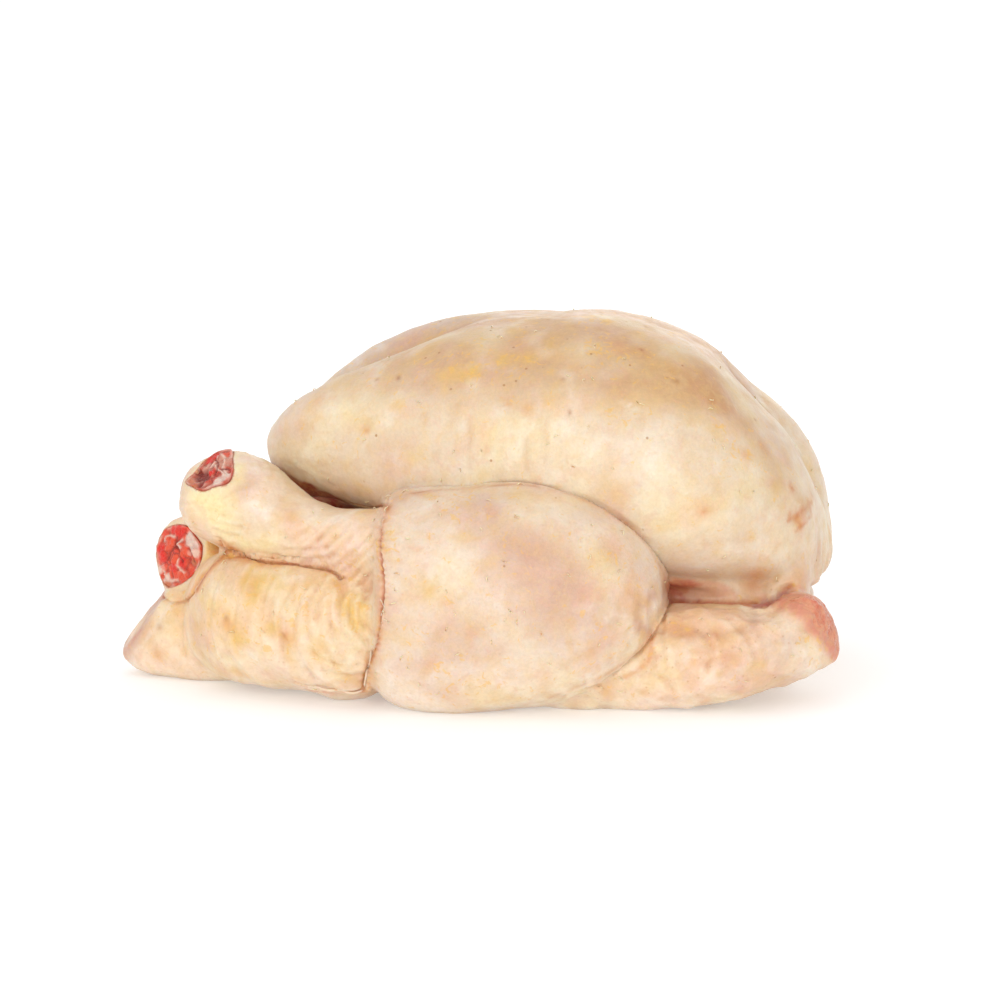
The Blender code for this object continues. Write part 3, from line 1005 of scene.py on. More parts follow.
def overlap_height(near, side, run, rise, depth, frill):
    """Height of the skin at a fold's edge: its lip, its groove and the small folds across it.

    side is the distance to the edge, positive on the upper skin, and run the way along it.
    """
    ridge = step(side, 0, LIP) * np.exp(-np.maximum(side - LIP, 0) / LIP_REACH)
    width = np.where(side < 0, GROOVE_BELOW, GROOVE_ABOVE)
    groove = depth * (0.8 + 0.5 * swell(near, 9, 2.2)) * np.exp(-((side / width) ** 2))
    folds = waves(run + 1.2 * swell(near, 4, 6.6), SMALL_FOLD)
    folds = folds * np.clip(0.5 + swell(near, 6, 3.8), 0, 1.2)
    small = frill * folds * np.exp(-np.abs(side) / FRILL_REACH) * step(np.abs(side), 0, EDGE)
    return rise * ridge - groove + small


def lay_over(points, tree, rise, depth, overhang, frill, pixels, far):
    """Lift and moves that lay the skin on the right of a line over the skin on its left."""
    moves = np.zeros_like(points)
    lift = np.zeros(len(points))
    line = skin_line(pixels, tree)
    if far:
        line = across(line, tree)
    close, gap, foot, along = line_reach(points, line)
    near = points[close]
    side = gap * right_of(near * MIRROR if far else near, pixels)
    ends = step(along, 0, 0.05) * (1 - step(along, 0.95, 1))
    run = along * np.linalg.norm(np.diff(line, axis=0), axis=1).sum()
    lift[close] = ends * overlap_height(near, side, run, rise, depth, frill)
    hang = overhang * ends * step(side, 0, EDGE) * np.exp(-np.maximum(side - EDGE, 0) / HANG_REACH)
    moves[close] = (foot - near) / np.maximum(gap, 0.05)[:, None] * hang[:, None]
    return lift, moves


def overlap_moves(points, tree):
    """Lift and moves of the skin at all folds where skin lies over skin."""
    height = np.zeros(len(points))
    moves = np.zeros_like(points)
    for rise, depth, overhang, frill, _, both, pixels in OVERLAPS:
        for far in (False, True) if both else (False,):
            lift, shift = lay_over(points, tree, rise, depth, overhang, frill, pixels, far)
            height += lift
            moves += shift
    return height, moves


def lines_height(points, tree):
    """Height of the skin at its creases, its grooves and its wrinkles."""
    height = np.zeros(len(points))
    for depth, width, pixels in CREASES:
        height += pressed(points, skin_lines(pixels, tree, True), depth, width)
    for line in keel_lines(tree):
        close, gap, _, along = line_reach(points, line)
        ends = step(along, 0, 0.15) * (1 - step(along, 0.45, 1))
        height[close] -= KEEL_DEPTH * ends * bump(gap, 0, KEEL_WIDTH)
    height -= SHANK_FOLD_DEPTH * bump(shank_fold(points), 0, SHANK_FOLD_WIDTH)
    for depth, width, wrinkles in WRINKLES:
        lines = [line for pixels in wrinkles for line in skin_lines(pixels, tree, True)]
        height += pressed(points, lines, depth, width)
    return height


def add_relief(piece, tree):
    """Moves each point of the skin in or out by the folds and lumps of the bird."""
    points = points_of(piece)
    height = gathers(points) + rump_folds(points) + wing_lumps(points) + skin_crepe(points)
    height += neck_tuck(points) + knob_lines(points) + layered(points, UNEVENNESS)
    lift, moves = overlap_moves(points, tree)
    height += lift + lines_height(points, tree)
    set_points(piece, points + normals_of(piece) * height[:, None] + moves)


def distance_to(points, shape):
    """Distance of each point to the surface of a mass."""
    tree = BVHTree.FromPolygons(shape[0].tolist(), shape[1])
    return np.array([tree.find_nearest(p)[3] for p in points.tolist()])


def shank_fold(points):
    """Distance to the fold between the far shank and the rump, far away elsewhere."""
    folded = np.full(len(points), FAR_AWAY)
    x, y, z = points.T
    close = np.flatnonzero((x < -34) & (y > 2) & (z > 20) & (z < 62))
    shank = distance_to(points[close], far_shank())
    rump_gap = distance_to(points[close], opposite(rump(), FAR_RUMP_SHIFT))
    folded[close] = np.maximum(shank, rump_gap)
    return folded


# How near to lines, small marks and cuts the mesh of the skin is split, first and once more.
SPLIT_LINES = (7, 2.6)
SPLIT_MARKS = (3, 1)
SPLIT_CUTS = 15

# Radius below which a mark needs a finer mesh.
SMALL_MARK = 1.7


def fine_zone(points):
    """Chooses the parts of the skin with many small folds."""
    x, y, z = points.T
    tail_half = (x < -34) & (z < 84) & (np.abs(x + 20) + z > 30)
    wing = (x > 22) & (np.abs(y) > 30) & (z < 46)
    neck = (x > 92) & (np.abs(y) < 40) & (z < 62)
    return (tail_half | wing | neck) & (z > 1.5)


def near_lines(points, tree, reach):
    """Chooses what lies near an overlap, the groove of the breast or the fold of the far shank."""
    chosen = shank_fold(points) < reach
    lines = keel_lines(tree)
    for *_, both, pixels in OVERLAPS:
        lines += skin_lines(pixels, tree, both)
    for line in lines:
        close, gap, _, _ = line_reach(points, line, reach)
        chosen[close] |= gap < reach
    return chosen


def near_small_marks(points, tree, reach):
    """Chooses what lies near a mark that is too small for the mesh."""
    chosen = np.zeros(len(points), bool)
    for _, marks in MARKS:
        for x, y, radius, _ in marks:
            if radius < SMALL_MARK:
                for place in both_sides(on_skin((x, y), tree)):
                    chosen |= np.linalg.norm(points - place, axis=1) < radius + reach
    return chosen


# Cut faces.

# Corners of each cut's flesh, by pixels.
NEAR_CORNERS = ((186, 482), (194, 475), (204, 463), (213, 455), (221, 451), (232, 450), (233, 461),
                (233, 472), (227, 481), (213, 486), (201, 490), (192, 487))
FAR_CORNERS = ((178, 525), (188, 527), (194, 535), (200, 544), (202, 552), (199, 566), (191, 577),
               (180, 586), (170, 591), (163, 581), (159, 566), (156, 551), (157, 538), (165, 528))

# How far the outline of a cut hock may lie from its middle.
CUT_REACH = 11.6

# Half the width and half the length of the raw end of a wing, how far it is turned on the wing, and
# how near to its plane the skin beside it is looked for.
WING_END_WIDTH = 6.6
WING_END_LENGTH = 12.5
WING_END_TURN = math.radians(38)
WING_END_REACH = 13

# How deep the skin is sunk at a cut hock, how high its rim stands, how near to the outline points
# are drawn to it, and how near to the face and its middle they are looked for.
PIT_DEPTH = 3.5
RIM_HEIGHT = 0.3
SNAP_REACH = 0.3
FACE_REACH = 4.5
HOCK_REACH = 22


class Cut:
    """A cut face: its plane, and the outline of the flesh that shows in it."""

    def __init__(self, facing, corners):
        self.facing = np.array(facing)
        side = Vector((0, 0, 1)).cross(facing).normalized()
        self.side = np.array(side)
        self.up = np.array(facing.cross(side))
        corners = np.array([list(corner) for corner in corners])
        self.middle = corners.mean(axis=0)
        flat = self.flat(corners)[:, :2]
        turn = np.argsort(np.arctan2(flat[:, 1], flat[:, 0]))
        ring = flat[turn]
        closed = smooth_line([ring[-1], *ring, ring[0], ring[1]], 5)
        self.outline = closed[5:-5][: 5 * len(ring)]

    def flat(self, points):
        """Places across, up and above the face."""
        away = points - self.middle
        return np.stack([away @ self.side, away @ self.up, away @ self.facing], axis=1)

    def place(self, flat):
        across, up, above = flat.T
        made = self.middle + across[:, None] * self.side + up[:, None] * self.up
        return made + above[:, None] * self.facing

    def pixel(self, pixel):
        """Place on the face at a pixel."""
        place = on_plane(pixel, Vector(self.middle), Vector(self.facing))
        return self.flat(np.array([list(place)]))[0, :2]

    def edge(self, flat):
        """Distance of each place to the outline, negative inside, and the nearest place on it."""
        return outline_gap(flat, self.outline)


def seen_cut(middle, facing, pixels):
    """A cut hock, with the corners that the photograph shows."""
    places = [on_plane(p, middle, facing) for p in pixels]
    centre = sum(places, Vector()) / len(places)
    corners = [centre + (p - centre) * min(1, CUT_REACH / (p - centre).length) for p in places]
    return Cut(facing, corners)


def wing_cut(middle, facing, mirror, seed):
    """The raw end of a wing: a ragged oval that lies aslant."""
    side = Vector((0, 0, 1)).cross(facing).normalized()
    up = facing.cross(side)
    long = up * math.cos(WING_END_TURN) - side * mirror * math.sin(WING_END_TURN)
    short = facing.cross(long)
    places = []
    for turn in np.linspace(0, 2 * math.pi, 22, endpoint=False):
        place = Vector((math.cos(turn), math.sin(turn), seed))
        ragged = 1 + 0.2 * noise.noise(1.6 * place) + 0.1 * noise.noise(4 * place)
        wide = short * WING_END_WIDTH * ragged * math.cos(turn)
        places.append(middle + wide + long * WING_END_LENGTH * ragged * math.sin(turn))
    return Cut(facing, places)


def all_cuts():
    turned = Vector(MIRROR)
    far_middle = WING_CUT * turned + FAR_WING_SHIFT
    return {
        "near_shank": seen_cut(NEAR_CUT, NEAR_FACING, NEAR_CORNERS),
        "far_shank": seen_cut(FAR_CUT, FAR_FACING, FAR_CORNERS),
        "near_wing": wing_cut(WING_CUT, WING_FACING, mirror=1, seed=1.5),
        "far_wing": wing_cut(far_middle, WING_FACING * turned, mirror=-1, seed=4.5),
    }


def open_cuts(piece, cuts):
    """Sinks the skin inside the outline of each cut hock, and draws its edge clean."""
    points = points_of(piece)
    for name in ("near_shank", "far_shank"):
        cut = cuts[name]
        flat = cut.flat(points)
        close = (np.abs(flat[:, 2]) < FACE_REACH) & (np.hypot(*flat[:, :2].T) < HOCK_REACH)
        near = flat[close]
        gap, nearest = cut.edge(near[:, :2])
        snap = np.abs(gap) < SNAP_REACH
        near[snap, :2] = nearest[snap]
        near[:, 2] += RIM_HEIGHT * bump(gap, 0.4, 0.8)
        near[gap <= -SNAP_REACH, 2] -= PIT_DEPTH
        points[close] = cut.place(near)
    set_points(piece, points)


# Colours, as screen values.
BASE = {
    "breast": linear(232, 209, 180),
    "leg": linear(235, 211, 188),
    "shank": linear(244, 213, 190),
    "rump": linear(247, 215, 176),
    "tail": linear(247, 204, 150),
    "wing": linear(245, 208, 174),
    "flank": linear(226, 184, 152),
    "recess": linear(206, 160, 134),
    "cavity": linear(112, 40, 30),
}
TAN = linear(206, 156, 102)
STAIN = linear(196, 134, 72)
YELLOW = linear(232, 186, 88)
CREAM = linear(244, 228, 188)
PALE_YELLOW = linear(250, 232, 176)
ORANGE = linear(222, 144, 78)
BROWN = linear(168, 98, 38)
SCUFF = linear(204, 124, 60)
PINK = linear(210, 164, 138)
ROSE = linear(230, 162, 134)
MAUVE = linear(204, 168, 152)
TAIL_GREY = linear(202, 150, 128)
WHITE = linear(250, 242, 228)
RED = linear(204, 86, 62)
# Painted shade: warm in the folds, grooves and hollows of the skin, and darker deep in the folds.
CREASE = linear(212, 128, 66)
DEEP_CREASE_SHADE = linear(166, 84, 34)
# Painted shade: the dark red-brown of the hollow under the breast's tip, and the line where the breast
# meets the near shank.
HOLLOW_SHADE = linear(170, 62, 42)
HOLLOW_EDGE_SHADE = linear(176, 92, 48)
# Dark red of the crevice between the wing's top and the breast, partly painted shade there.
DEEP_RED = linear(164, 36, 22)
KNOB_YELLOW = linear(255, 212, 134)
# Deeper orange of the far knob's yellow skin next to its fold with the rump, partly painted shade.
KNOB_ORANGE = linear(244, 156, 70)
# Painted warm light on the underside of the breast's tip.
UNDER_BREAST_LIGHT = linear(236, 176, 124)
POCKET = linear(228, 178, 146)
# Dark red-brown at the recess's left end and along the wing's top edge, where it is partly painted shade.
POCKET_RED = linear(196, 96, 66)
RAW_END = linear(222, 144, 116)
DARK_RED = linear(120, 8, 4)
BRIGHT_RED = linear(230, 24, 8)
FLESH = linear(234, 80, 40)
NEAR_FLESH = linear(194, 78, 52)
WING_FLESH = linear(228, 156, 120)
WING_DARK = linear(212, 124, 92)
WING_RED = linear(206, 88, 62)
BONE = linear(220, 160, 138)
GRISTLE = linear(212, 152, 130)
SINEW = linear(242, 208, 188)
PALE_GRISTLE = linear(236, 214, 198)
RUST = linear(204, 112, 66)
PIT_WALL = linear(206, 96, 60)
# Painted shade: the greyer far lobe of the breast behind the near crest.
FAR_TIP = linear(212, 186, 172)
# Painted light from below that makes the lowest skin paler.
LOW_SKIN_LIGHT = linear(255, 238, 220)
SKIN_YELLOW = linear(236, 196, 128)
SKIN_PINK = linear(228, 168, 146)
SKIN_FLECK = linear(242, 190, 92)
SKIN_DOT = linear(176, 118, 56)
FOLLICLE = linear(196, 142, 88)
FIBRE = linear(244, 180, 150)
BLOOD = linear(190, 16, 6)
STUB_PALE = linear(250, 232, 190)
STUB_DARK = linear(206, 150, 84)
THREAD_PALE = linear(246, 222, 196)
THREAD_DARK = linear(232, 176, 128)

# Clouds over the whole skin: colour, size, seed, least swelling that shows, and strength.
CLOUDS = (
    (CREAM, 22, 4.4, -0.1, 0.5),
    (PINK, 24, 8.8, 0.05, 0.4),
    (YELLOW, 10, 3.3, 0.12, 0.26),
    (ROSE, 12, 1.8, 0.15, 0.2),
    (WHITE, 8, 6.8, 0.12, 0.25),
    (YELLOW, 4, 5.2, 0.15, 0.22),
    (TAN, 5, 9.1, 0.18, 0.2),
)

# How much more or less the knobs of feather follicles show on each part than elsewhere.
GOOSE = {"wing": 0.75, "rump": 0.4, "tail": 0.3, "leg": 0.15, "cavity": -0.25}

# Rounds of averaging that show how hollow the skin is, and how near to a cut hock's face the wall
# of its pit is tinted.
HOLLOW_ROUNDS = 10
PIT_WALL_REACH = 6

# Marks: colour, then pixel, radius in millimetres and strength of each. The far side repeats them,
# moved a little.
FAR_MARK_SHIFT = (2, 0, 0)
MARKS = (
    (PINK, ((590, 585, 6, 0.4), (784, 648, 5, 0.35), (533, 566, 10, 0.75), (565, 575, 9, 0.75),
            (515, 545, 8, 0.5), (552, 600, 10, 0.6), (500, 560, 7, 0.4))),
    (ROSE, ((590, 592, 4, 0.3), (612, 546, 4, 0.3), (297, 534, 4, 0.4),
            (293, 520, 4, 0.3), (320, 545, 5, 0.25), (345, 560, 5, 0.2))),
    (MAUVE, ((243, 490, 3.2, 0.55), (480, 500, 7, 0.4), (500, 505, 6, 0.35), (640, 560, 6, 0.3),
             (600, 620, 8, 0.3), (560, 640, 9, 0.25), (793, 643, 5, 0.35), (782, 639, 1.2, 0.8),
             (248, 478, 2.5, 0.3))),
    # Of the white spots, the four at x 648 to 660 along the leg's right edge are painted light there, and
    # those at (263, 514) and (256, 508) on the near shank and at (472, 386) on the breast are painted
    # highlights.
    (WHITE, ((648, 548, 2.4, 0.35), (657, 575, 2.4, 0.5), (660, 590, 2.6, 0.6), (657, 606, 2.4, 0.5),
             (263, 514, 3.2, 0.75), (256, 508, 2.4, 0.5), (472, 386, 2.4, 0.5), (600, 440, 9, 0.25),
             (640, 470, 9, 0.3), (760, 545, 7, 0.3), (560, 515, 6, 0.3), (590, 530, 6, 0.3),
             (700, 560, 8, 0.3), (252, 655, 5, 0.3), (297, 655, 4, 0.3))),
    (YELLOW, ((444, 376, 3.2, 0.7), (472, 371, 3.6, 0.8), (505, 360, 3.0, 0.6), (528, 357, 2.8, 0.6),
              (398, 404, 2.2, 0.6), (458, 374, 3, 0.5), (608, 321, 2.6, 0.6), (674, 371, 1.8, 0.7),
              (256, 588, 3.2, 0.7), (252, 600, 3, 0.6), (271, 625, 2.4, 0.6), (238, 640, 3.0, 0.7),
              (230, 628, 3, 0.5), (352, 612, 3.6, 0.9), (345, 600, 3, 0.6), (358, 625, 3, 0.6),
              (315, 653, 2.6, 0.5), (429, 590, 2.2, 0.45), (492, 562, 2.4, 0.35), (468, 537, 2.4, 0.35),
              (429, 497, 2.2, 0.5), (390, 535, 2.4, 0.4), (751, 535, 2, 0.5), (573, 455, 2.4, 0.3),
              (214, 612, 3, 0.4), (595, 560, 4, 0.25), (264, 578, 3, 0.4), (404, 640, 3, 0.3))),
    (PALE_YELLOW, ((215, 510, 7, 0.8), (225, 530, 6, 0.8), (245, 545, 4, 0.7), (238, 468, 2.6, 0.85),
                   (240, 480, 2.2, 0.6), (268, 545, 6, 0.5), (210, 500, 6, 0.8), (600, 555, 6, 0.3),
                   (610, 575, 5, 0.3), (344, 411, 3, 0.4), (200, 498, 4, 0.8))),
    (ORANGE, ((631, 597, 6, 0.4), (676, 628, 4, 0.6), (690, 632, 3, 0.5), (714, 637, 2.6, 0.7),
              (226, 624, 2.2, 0.5),
              (285, 637, 2.4, 0.7), (341, 586, 3, 0.4), (158, 655, 3, 0.5), (490, 511, 2, 0.45),
              (472, 633, 1.8, 0.45), (431, 664, 2.2, 0.45), (446, 603, 2.4, 0.4), (366, 430, 1.6, 0.5),
              (509, 403, 1.8, 0.35), (526, 407, 2, 0.35), (746, 455, 2.6, 0.55), (762, 447, 2, 0.4),
              (711, 401, 1.6, 0.7), (703, 512, 1.9, 0.75), (622, 349, 3.2, 0.5), (640, 352, 2.6, 0.4),
              (760, 575, 3.6, 0.6), (752, 585, 3, 0.5), (795, 586, 3.6, 0.5), (700, 660, 4, 0.25),
              # The orange spots at (222, 557), (232, 552), (212, 567) and (203, 577) lie along the fold
              # over the far knob and are painted shade there.
              (590, 655, 5, 0.3), (610, 690, 4, 0.3), (728, 655, 4, 0.2), (222, 557, 3, 0.7),
              (232, 552, 3, 0.7), (212, 567, 3, 0.6), (203, 577, 2.6, 0.5), (650, 640, 3, 0.4))),
    (TAN, ((662, 385, 8, 0.6), (690, 400, 8, 0.6), (720, 400, 8, 0.6), (745, 425, 7, 0.5),
           (640, 365, 8, 0.5), (600, 350, 8, 0.35), (765, 460, 7, 0.35), (776, 480, 6, 0.4),
           (620, 380, 7, 0.35), (680, 370, 6, 0.4), (612, 556, 4, 0.4), (600, 545, 3.5, 0.3),
           (626, 570, 4, 0.3), (790, 640, 5, 0.3), (802, 628, 4, 0.2))),
    (STAIN, ((645, 352, 6, 0.4), (672, 366, 5, 0.35), (700, 386, 6, 0.4), (728, 402, 6, 0.45),
             (750, 426, 5, 0.4), (764, 448, 4, 0.3), (805, 506, 5, 0.4), (798, 488, 4, 0.25),
             (777, 478, 4, 0.2))),
    (BROWN, ((676, 382, 1.3, 0.7), (642, 351, 0.7, 0.8), (668, 378, 0.8, 0.6), (376, 379, 0.9, 0.6),
             (398, 377, 1.1, 0.7), (571, 412, 0.6, 0.8), (756, 420, 1.0, 0.6), (160, 627, 1.8, 0.5),
             (285, 637, 1.0, 0.5), (226, 620, 1.2, 0.5), (524, 318, 0.7, 0.5), (548, 320, 0.6, 0.5),
             (646, 327, 0.7, 0.5), (232, 506, 0.6, 0.5), (562, 380, 0.9, 0.4))),
    (SCUFF, ((792, 489, 2.0, 0.9), (803, 510, 2.2, 0.85), (809, 503, 1.8, 0.8), (798, 519, 2.2, 0.8),
             (801, 527, 1.5, 0.8), (789, 517, 1.6, 0.6), (812, 496, 1.6, 0.5))),
    (RED, ((664, 582, 2, 0.3),)),
    (RAW_END, ((783, 603, 3, 0.8), (793, 598, 3, 0.8), (806, 600, 3, 0.8), (830, 630, 4, 0.8),
               (833, 646, 3.6, 0.8), (797, 610, 3, 0.6), (824, 615, 3, 0.8))),
)

# Coloured lines by pixels: colour, half width in millimetres, strength, whether the far side has
# it too, line.
COLOUR_LINES = (
    # The orange and red lines along the thigh's crease, under the near shank, along the fold over the far
    # knob and under the leg's lower edge are painted shade in those folds.
    (ORANGE, 3.2, 0.3, True, THIGH_EDGE),
    (RED, 0.5, 0.4, True, ((382, 559), (384, 580), (384, 595), (383, 608))),
    (ORANGE, 2.4, 0.7, False, ((222, 545), (237, 555), (256, 562), (277, 565))),
    (ROSE, 0.9, 0.7, False, ((277, 563), (302, 564), (325, 568), (339, 577))),
    (ORANGE, 2.0, 0.6, False, ((228, 553), (213, 566), (199, 582), (188, 600))),
    (ORANGE, 1.0, 0.6, True, ((652, 640), (650, 657), (640, 669), (625, 677))),
    (TAIL_GREY, 4.4, 0.8, True, ((164, 597), (152, 611), (141, 629), (128, 647), (122, 653))),
    (WHITE, 0.9, 0.25, True, ((171, 603), (156, 625), (145, 642), (136, 651))),
    (RED, 0.9, 0.35, False, ((141, 630), (128, 646), (124, 651))),
    (YELLOW, 1.1, 0.5, True, ((255, 562), (248, 575), (243, 590))),
    (SCUFF, 0.8, 0.6, True, ((788, 521), (800, 513), (812, 502))),
    (SCUFF, 0.7, 0.5, True, ((796, 531), (806, 522), (812, 514))),
    (ROSE, 1.1, 0.3, True, ((484, 424), (485, 440), (486, 452))),
    (TAN, 1.0, 0.35, True, ((526, 440), (527, 470))),
    (TAN, 1.6, 0.3, True, ((470, 420), (472, 468))),
    (WHITE, 0.7, 0.5, True, ((624, 402), (631, 408), (638, 414))),
    (ROSE, 1.6, 0.5, True, ((308, 690), (335, 693), (358, 691))),
)

# Share of the warm painted shade in the folds, and how far it and the dark painted line reach.
FOLD_SHADE = 0.5
FOLD_REACH = 1.3
FOLD_DARK = 0.4
FOLD_DARK_REACH = 0.45

# Patches by pixel outline: colour, strength, softness in pixels, whether the far side has it too,
# least and greatest y in millimetres, and the outline.
PATCHES = (
    # Painted shade of the dark hollow under the breast's tip, laid on the breast's underside and on the
    # far shank's inner side.
    (HOLLOW_SHADE, 0.97, 1.2, False, -15, 26,
     ((296, 483), (306, 482), (325, 489), (340, 496), (355, 502), (368, 505), (389, 508), (389, 513),
      (366, 512), (347, 513), (330, 512), (314, 507), (300, 494))),
    # Painted shade at the left end of that hollow.
    (HOLLOW_EDGE_SHADE, 0.7, 2.5, False, -16, 26, ((290, 478), (300, 480), (310, 486), (304, 492), (294, 486))),
    (POCKET, 0.8, 2.0, True, -46, -20,
     ((664, 579), (690, 580), (708, 581), (722, 583), (732, 588), (738, 595), (735, 604), (727, 609),
      (700, 608), (664, 606))),
    (POCKET_RED, 0.75, 2.5, True, -46, -20,
     ((664, 580), (688, 580), (703, 584), (690, 589), (684, 596), (690, 606), (664, 606))),
    # Dark red line over the wing's top edge, partly painted shade in that crease.
    (POCKET_RED, 0.7, 2.0, True, -47, -20,
     ((690, 600), (727, 602), (752, 602), (770, 600), (775, 605), (767, 610), (727, 610), (690, 609))),
    # Dark red of the crevice between the wing's top and the breast, partly painted shade.
    (DEEP_RED, 0.9, 1.5, True, -70, -10,
     ((752, 604), (766, 601), (778, 594), (790, 588), (793, 592), (781, 601), (769, 608), (752, 608))),
    (RAW_END, 0.75, 6.0, True, -80, -36,
     ((774, 604), (786, 609), (798, 615), (809, 626), (818, 640), (824, 653), (836, 660), (850, 645),
      (846, 630), (838, 612), (824, 596), (808, 588), (792, 587), (782, 597))),
    (WING_RED, 0.5, 4.0, True, -80, -38,
     ((816, 602), (822, 606), (830, 622), (834, 640), (832, 652), (842, 655), (852, 640), (838, 604),
      (826, 594))),
    # Painted shadow along the line where the breast's lower edge meets the near shank.
    (HOLLOW_EDGE_SHADE, 0.8, 1.5, False, -20, 10,
     ((264, 462), (272, 463), (282, 468), (292, 476), (302, 483), (302, 489), (292, 483), (280, 474),
      (268, 467))),
    (KNOB_YELLOW, 0.92, 2.5, False, -18, 5,
     ((208, 526), (224, 530), (238, 548), (228, 556), (214, 567), (204, 580), (197, 592), (192, 588),
      (198, 572), (206, 550))),
    # Orange of the far knob next to its fold with the rump, partly painted shade.
    (KNOB_ORANGE, 0.85, 3.0, False, -18, 5,
     ((220, 534), (240, 548), (226, 558), (210, 570), (214, 552))),
)


def nearness(points, regions):
    """Share of each region in each point, by which masses lie nearest."""
    shares = {}
    for name, masses in regions.items():
        gap = np.full(len(points), np.inf)
        for shape in masses:
            gap = np.minimum(gap, distance_to(points, shape))
        shares[name] = np.exp(-((gap / 1.1) ** 2)) + 1e-9
    total = sum(shares.values())
    return {name: share / total for name, share in shares.items()}


def spot(points, place, radius, strength):
    """Share of one soft, ragged spot at each point."""
    gap = np.linalg.norm(points - place, axis=1)
    return strength * np.exp(-((gap / radius) ** 2))


def outline_gap(places, outline):
    """Distance of each place to a closed outline, negative inside, and the nearest place on it."""
    best = np.full(len(places), np.inf)
    nearest = np.zeros((len(places), 2))
    inside = np.zeros(len(places), bool)
    for a, b in zip(outline, np.roll(outline, -1, axis=0)):
        foot = nearest_on(places, a, b)[0]
        gap = np.linalg.norm(places - foot, axis=1)
        closer = gap < best
        best[closer] = gap[closer]
        nearest[closer] = foot[closer]
        spans = (a[1] > places[:, 1]) != (b[1] > places[:, 1])
        rise = b[1] - a[1] if b[1] != a[1] else 1e-9
        crossing = a[0] + (places[:, 1] - a[1]) / rise * (b - a)[0]
        inside ^= spans & (places[:, 0] < crossing)
    return np.where(inside, -best, best), nearest


def patch_share(points, seen, soft, least_y, most_y, outline):
    """Share of one patch in points, by where the seen side has it and how deep it lies."""
    ragged = pixels_of(seen) + 0.9 * soft * swell(points, 2.5, 3.6)[:, None]
    gap, _ = outline_gap(ragged, outline)
    depth = seen[:, 1] + 2.5 * swell(points, 5, 5.1)
    inside = step(depth, least_y - 2, least_y + 2) * (1 - step(depth, most_y - 3, most_y + 3))
    return inside * (1 - step(gap, -soft, soft))


def lay_patches(colour, points):
    """Colours what the photograph shows inside each patch's outline."""
    for tint, strength, soft, both, least_y, most_y, corners in PATCHES:
        outline = np.array(corners, float)
        low, high = outline.min(axis=0) - 3 * soft, outline.max(axis=0) + 3 * soft
        for seen in (points, points * MIRROR) if both else (points,):
            places = pixels_of(seen)
            close = np.flatnonzero(((places > low) & (places < high)).all(axis=1))
            share = patch_share(points[close], seen[close], soft, least_y, most_y, outline)
            colour[close] = blend(colour[close], tint, strength * share)
    return colour


def both_sides(place):
    """A place and its copy on the far side."""
    return np.array(place), np.array(place) * MIRROR + FAR_MARK_SHIFT


def local_hollow(points, normals, evener, rounds):
    """How deep each point lies below its surroundings, averaged in so many rounds."""
    return ((evener.smooth(points, rounds) - points) * normals).sum(axis=1)


def lay_marks(colour, points, tree):
    """Lays the spots and lines over the skin, the same on the side that is not seen."""
    warped = points + 1.3 * swells(points, 5, (1.0, 5.0, 9.0))
    for tint, marks in MARKS:
        for x, y, radius, strength in marks:
            for place in both_sides(on_skin((x, y), tree)):
                colour = blend(colour, tint, spot(warped, place, radius, strength))
    for tint, width, strength, both, pixels in COLOUR_LINES:
        for line in skin_lines(pixels, tree, both):
            gap = np.minimum(line_distance(points, line), FAR_AWAY)
            colour = blend(colour, tint, strength * bump(gap, 0, width))
    return colour


def paint_fold_shade(colour, points, tree):
    """Painted shade, warm and with a dark line, along each fold where skin lies over skin."""
    uneven = 0.8 + 0.9 * swell(points, 8, 2.9) + 0.5 * swell(points, 2.4, 5.9)
    folds = [(1.0, shank_fold(points))]
    for *_, strength, both, pixels in OVERLAPS:
        for line in skin_lines(pixels, tree, both):
            folds.append((strength, line_distance(points, line)))
    for strength, gap in folds:
        share = np.clip(strength * FOLD_SHADE * uneven, 0, 1)
        colour = blend(colour, CREASE, share * bump(gap, 0, FOLD_REACH))
        dark = np.clip(strength * FOLD_DARK * uneven, 0, 1)
        colour = blend(colour, DEEP_CREASE_SHADE, dark * bump(gap, 0, FOLD_DARK_REACH))
    return colour


def beside_wing_end(points, cut):
    """Distance of the skin round a raw wing end to the end's outline, far away elsewhere."""
    flat = cut.flat(points)
    gap, _ = cut.edge(flat[:, :2])
    return np.where(np.abs(flat[:, 2]) < WING_END_REACH, np.maximum(gap, 0), FAR_AWAY)


def fleck_shares(points, shares, tree):
    """How thickly ragged yellow flecks and small brown dots lie on each point of the skin."""
    crest = shares["breast"] * step(points[:, 2], 96, 114)
    yellow = 0.1 + 0.06 * shares["leg"] + 0.1 * shares["rump"] + 0.16 * crest
    yellow += 0.25 * step(swell(points, 14, 2.7), 0.1, 0.6)
    for tint, strength in ((YELLOW, 0.25), (ORANGE, 0.3)):
        for marked, marks in MARKS:
            if marked is tint:
                for mark_x, mark_y, radius, share in marks:
                    for place in both_sides(on_skin((mark_x, mark_y), tree)):
                        yellow += spot(points, place, 1.3 * radius, strength * share)
    return np.clip(yellow, 0, 1), np.clip(0.05 + 0.6 * crest, 0, 1)


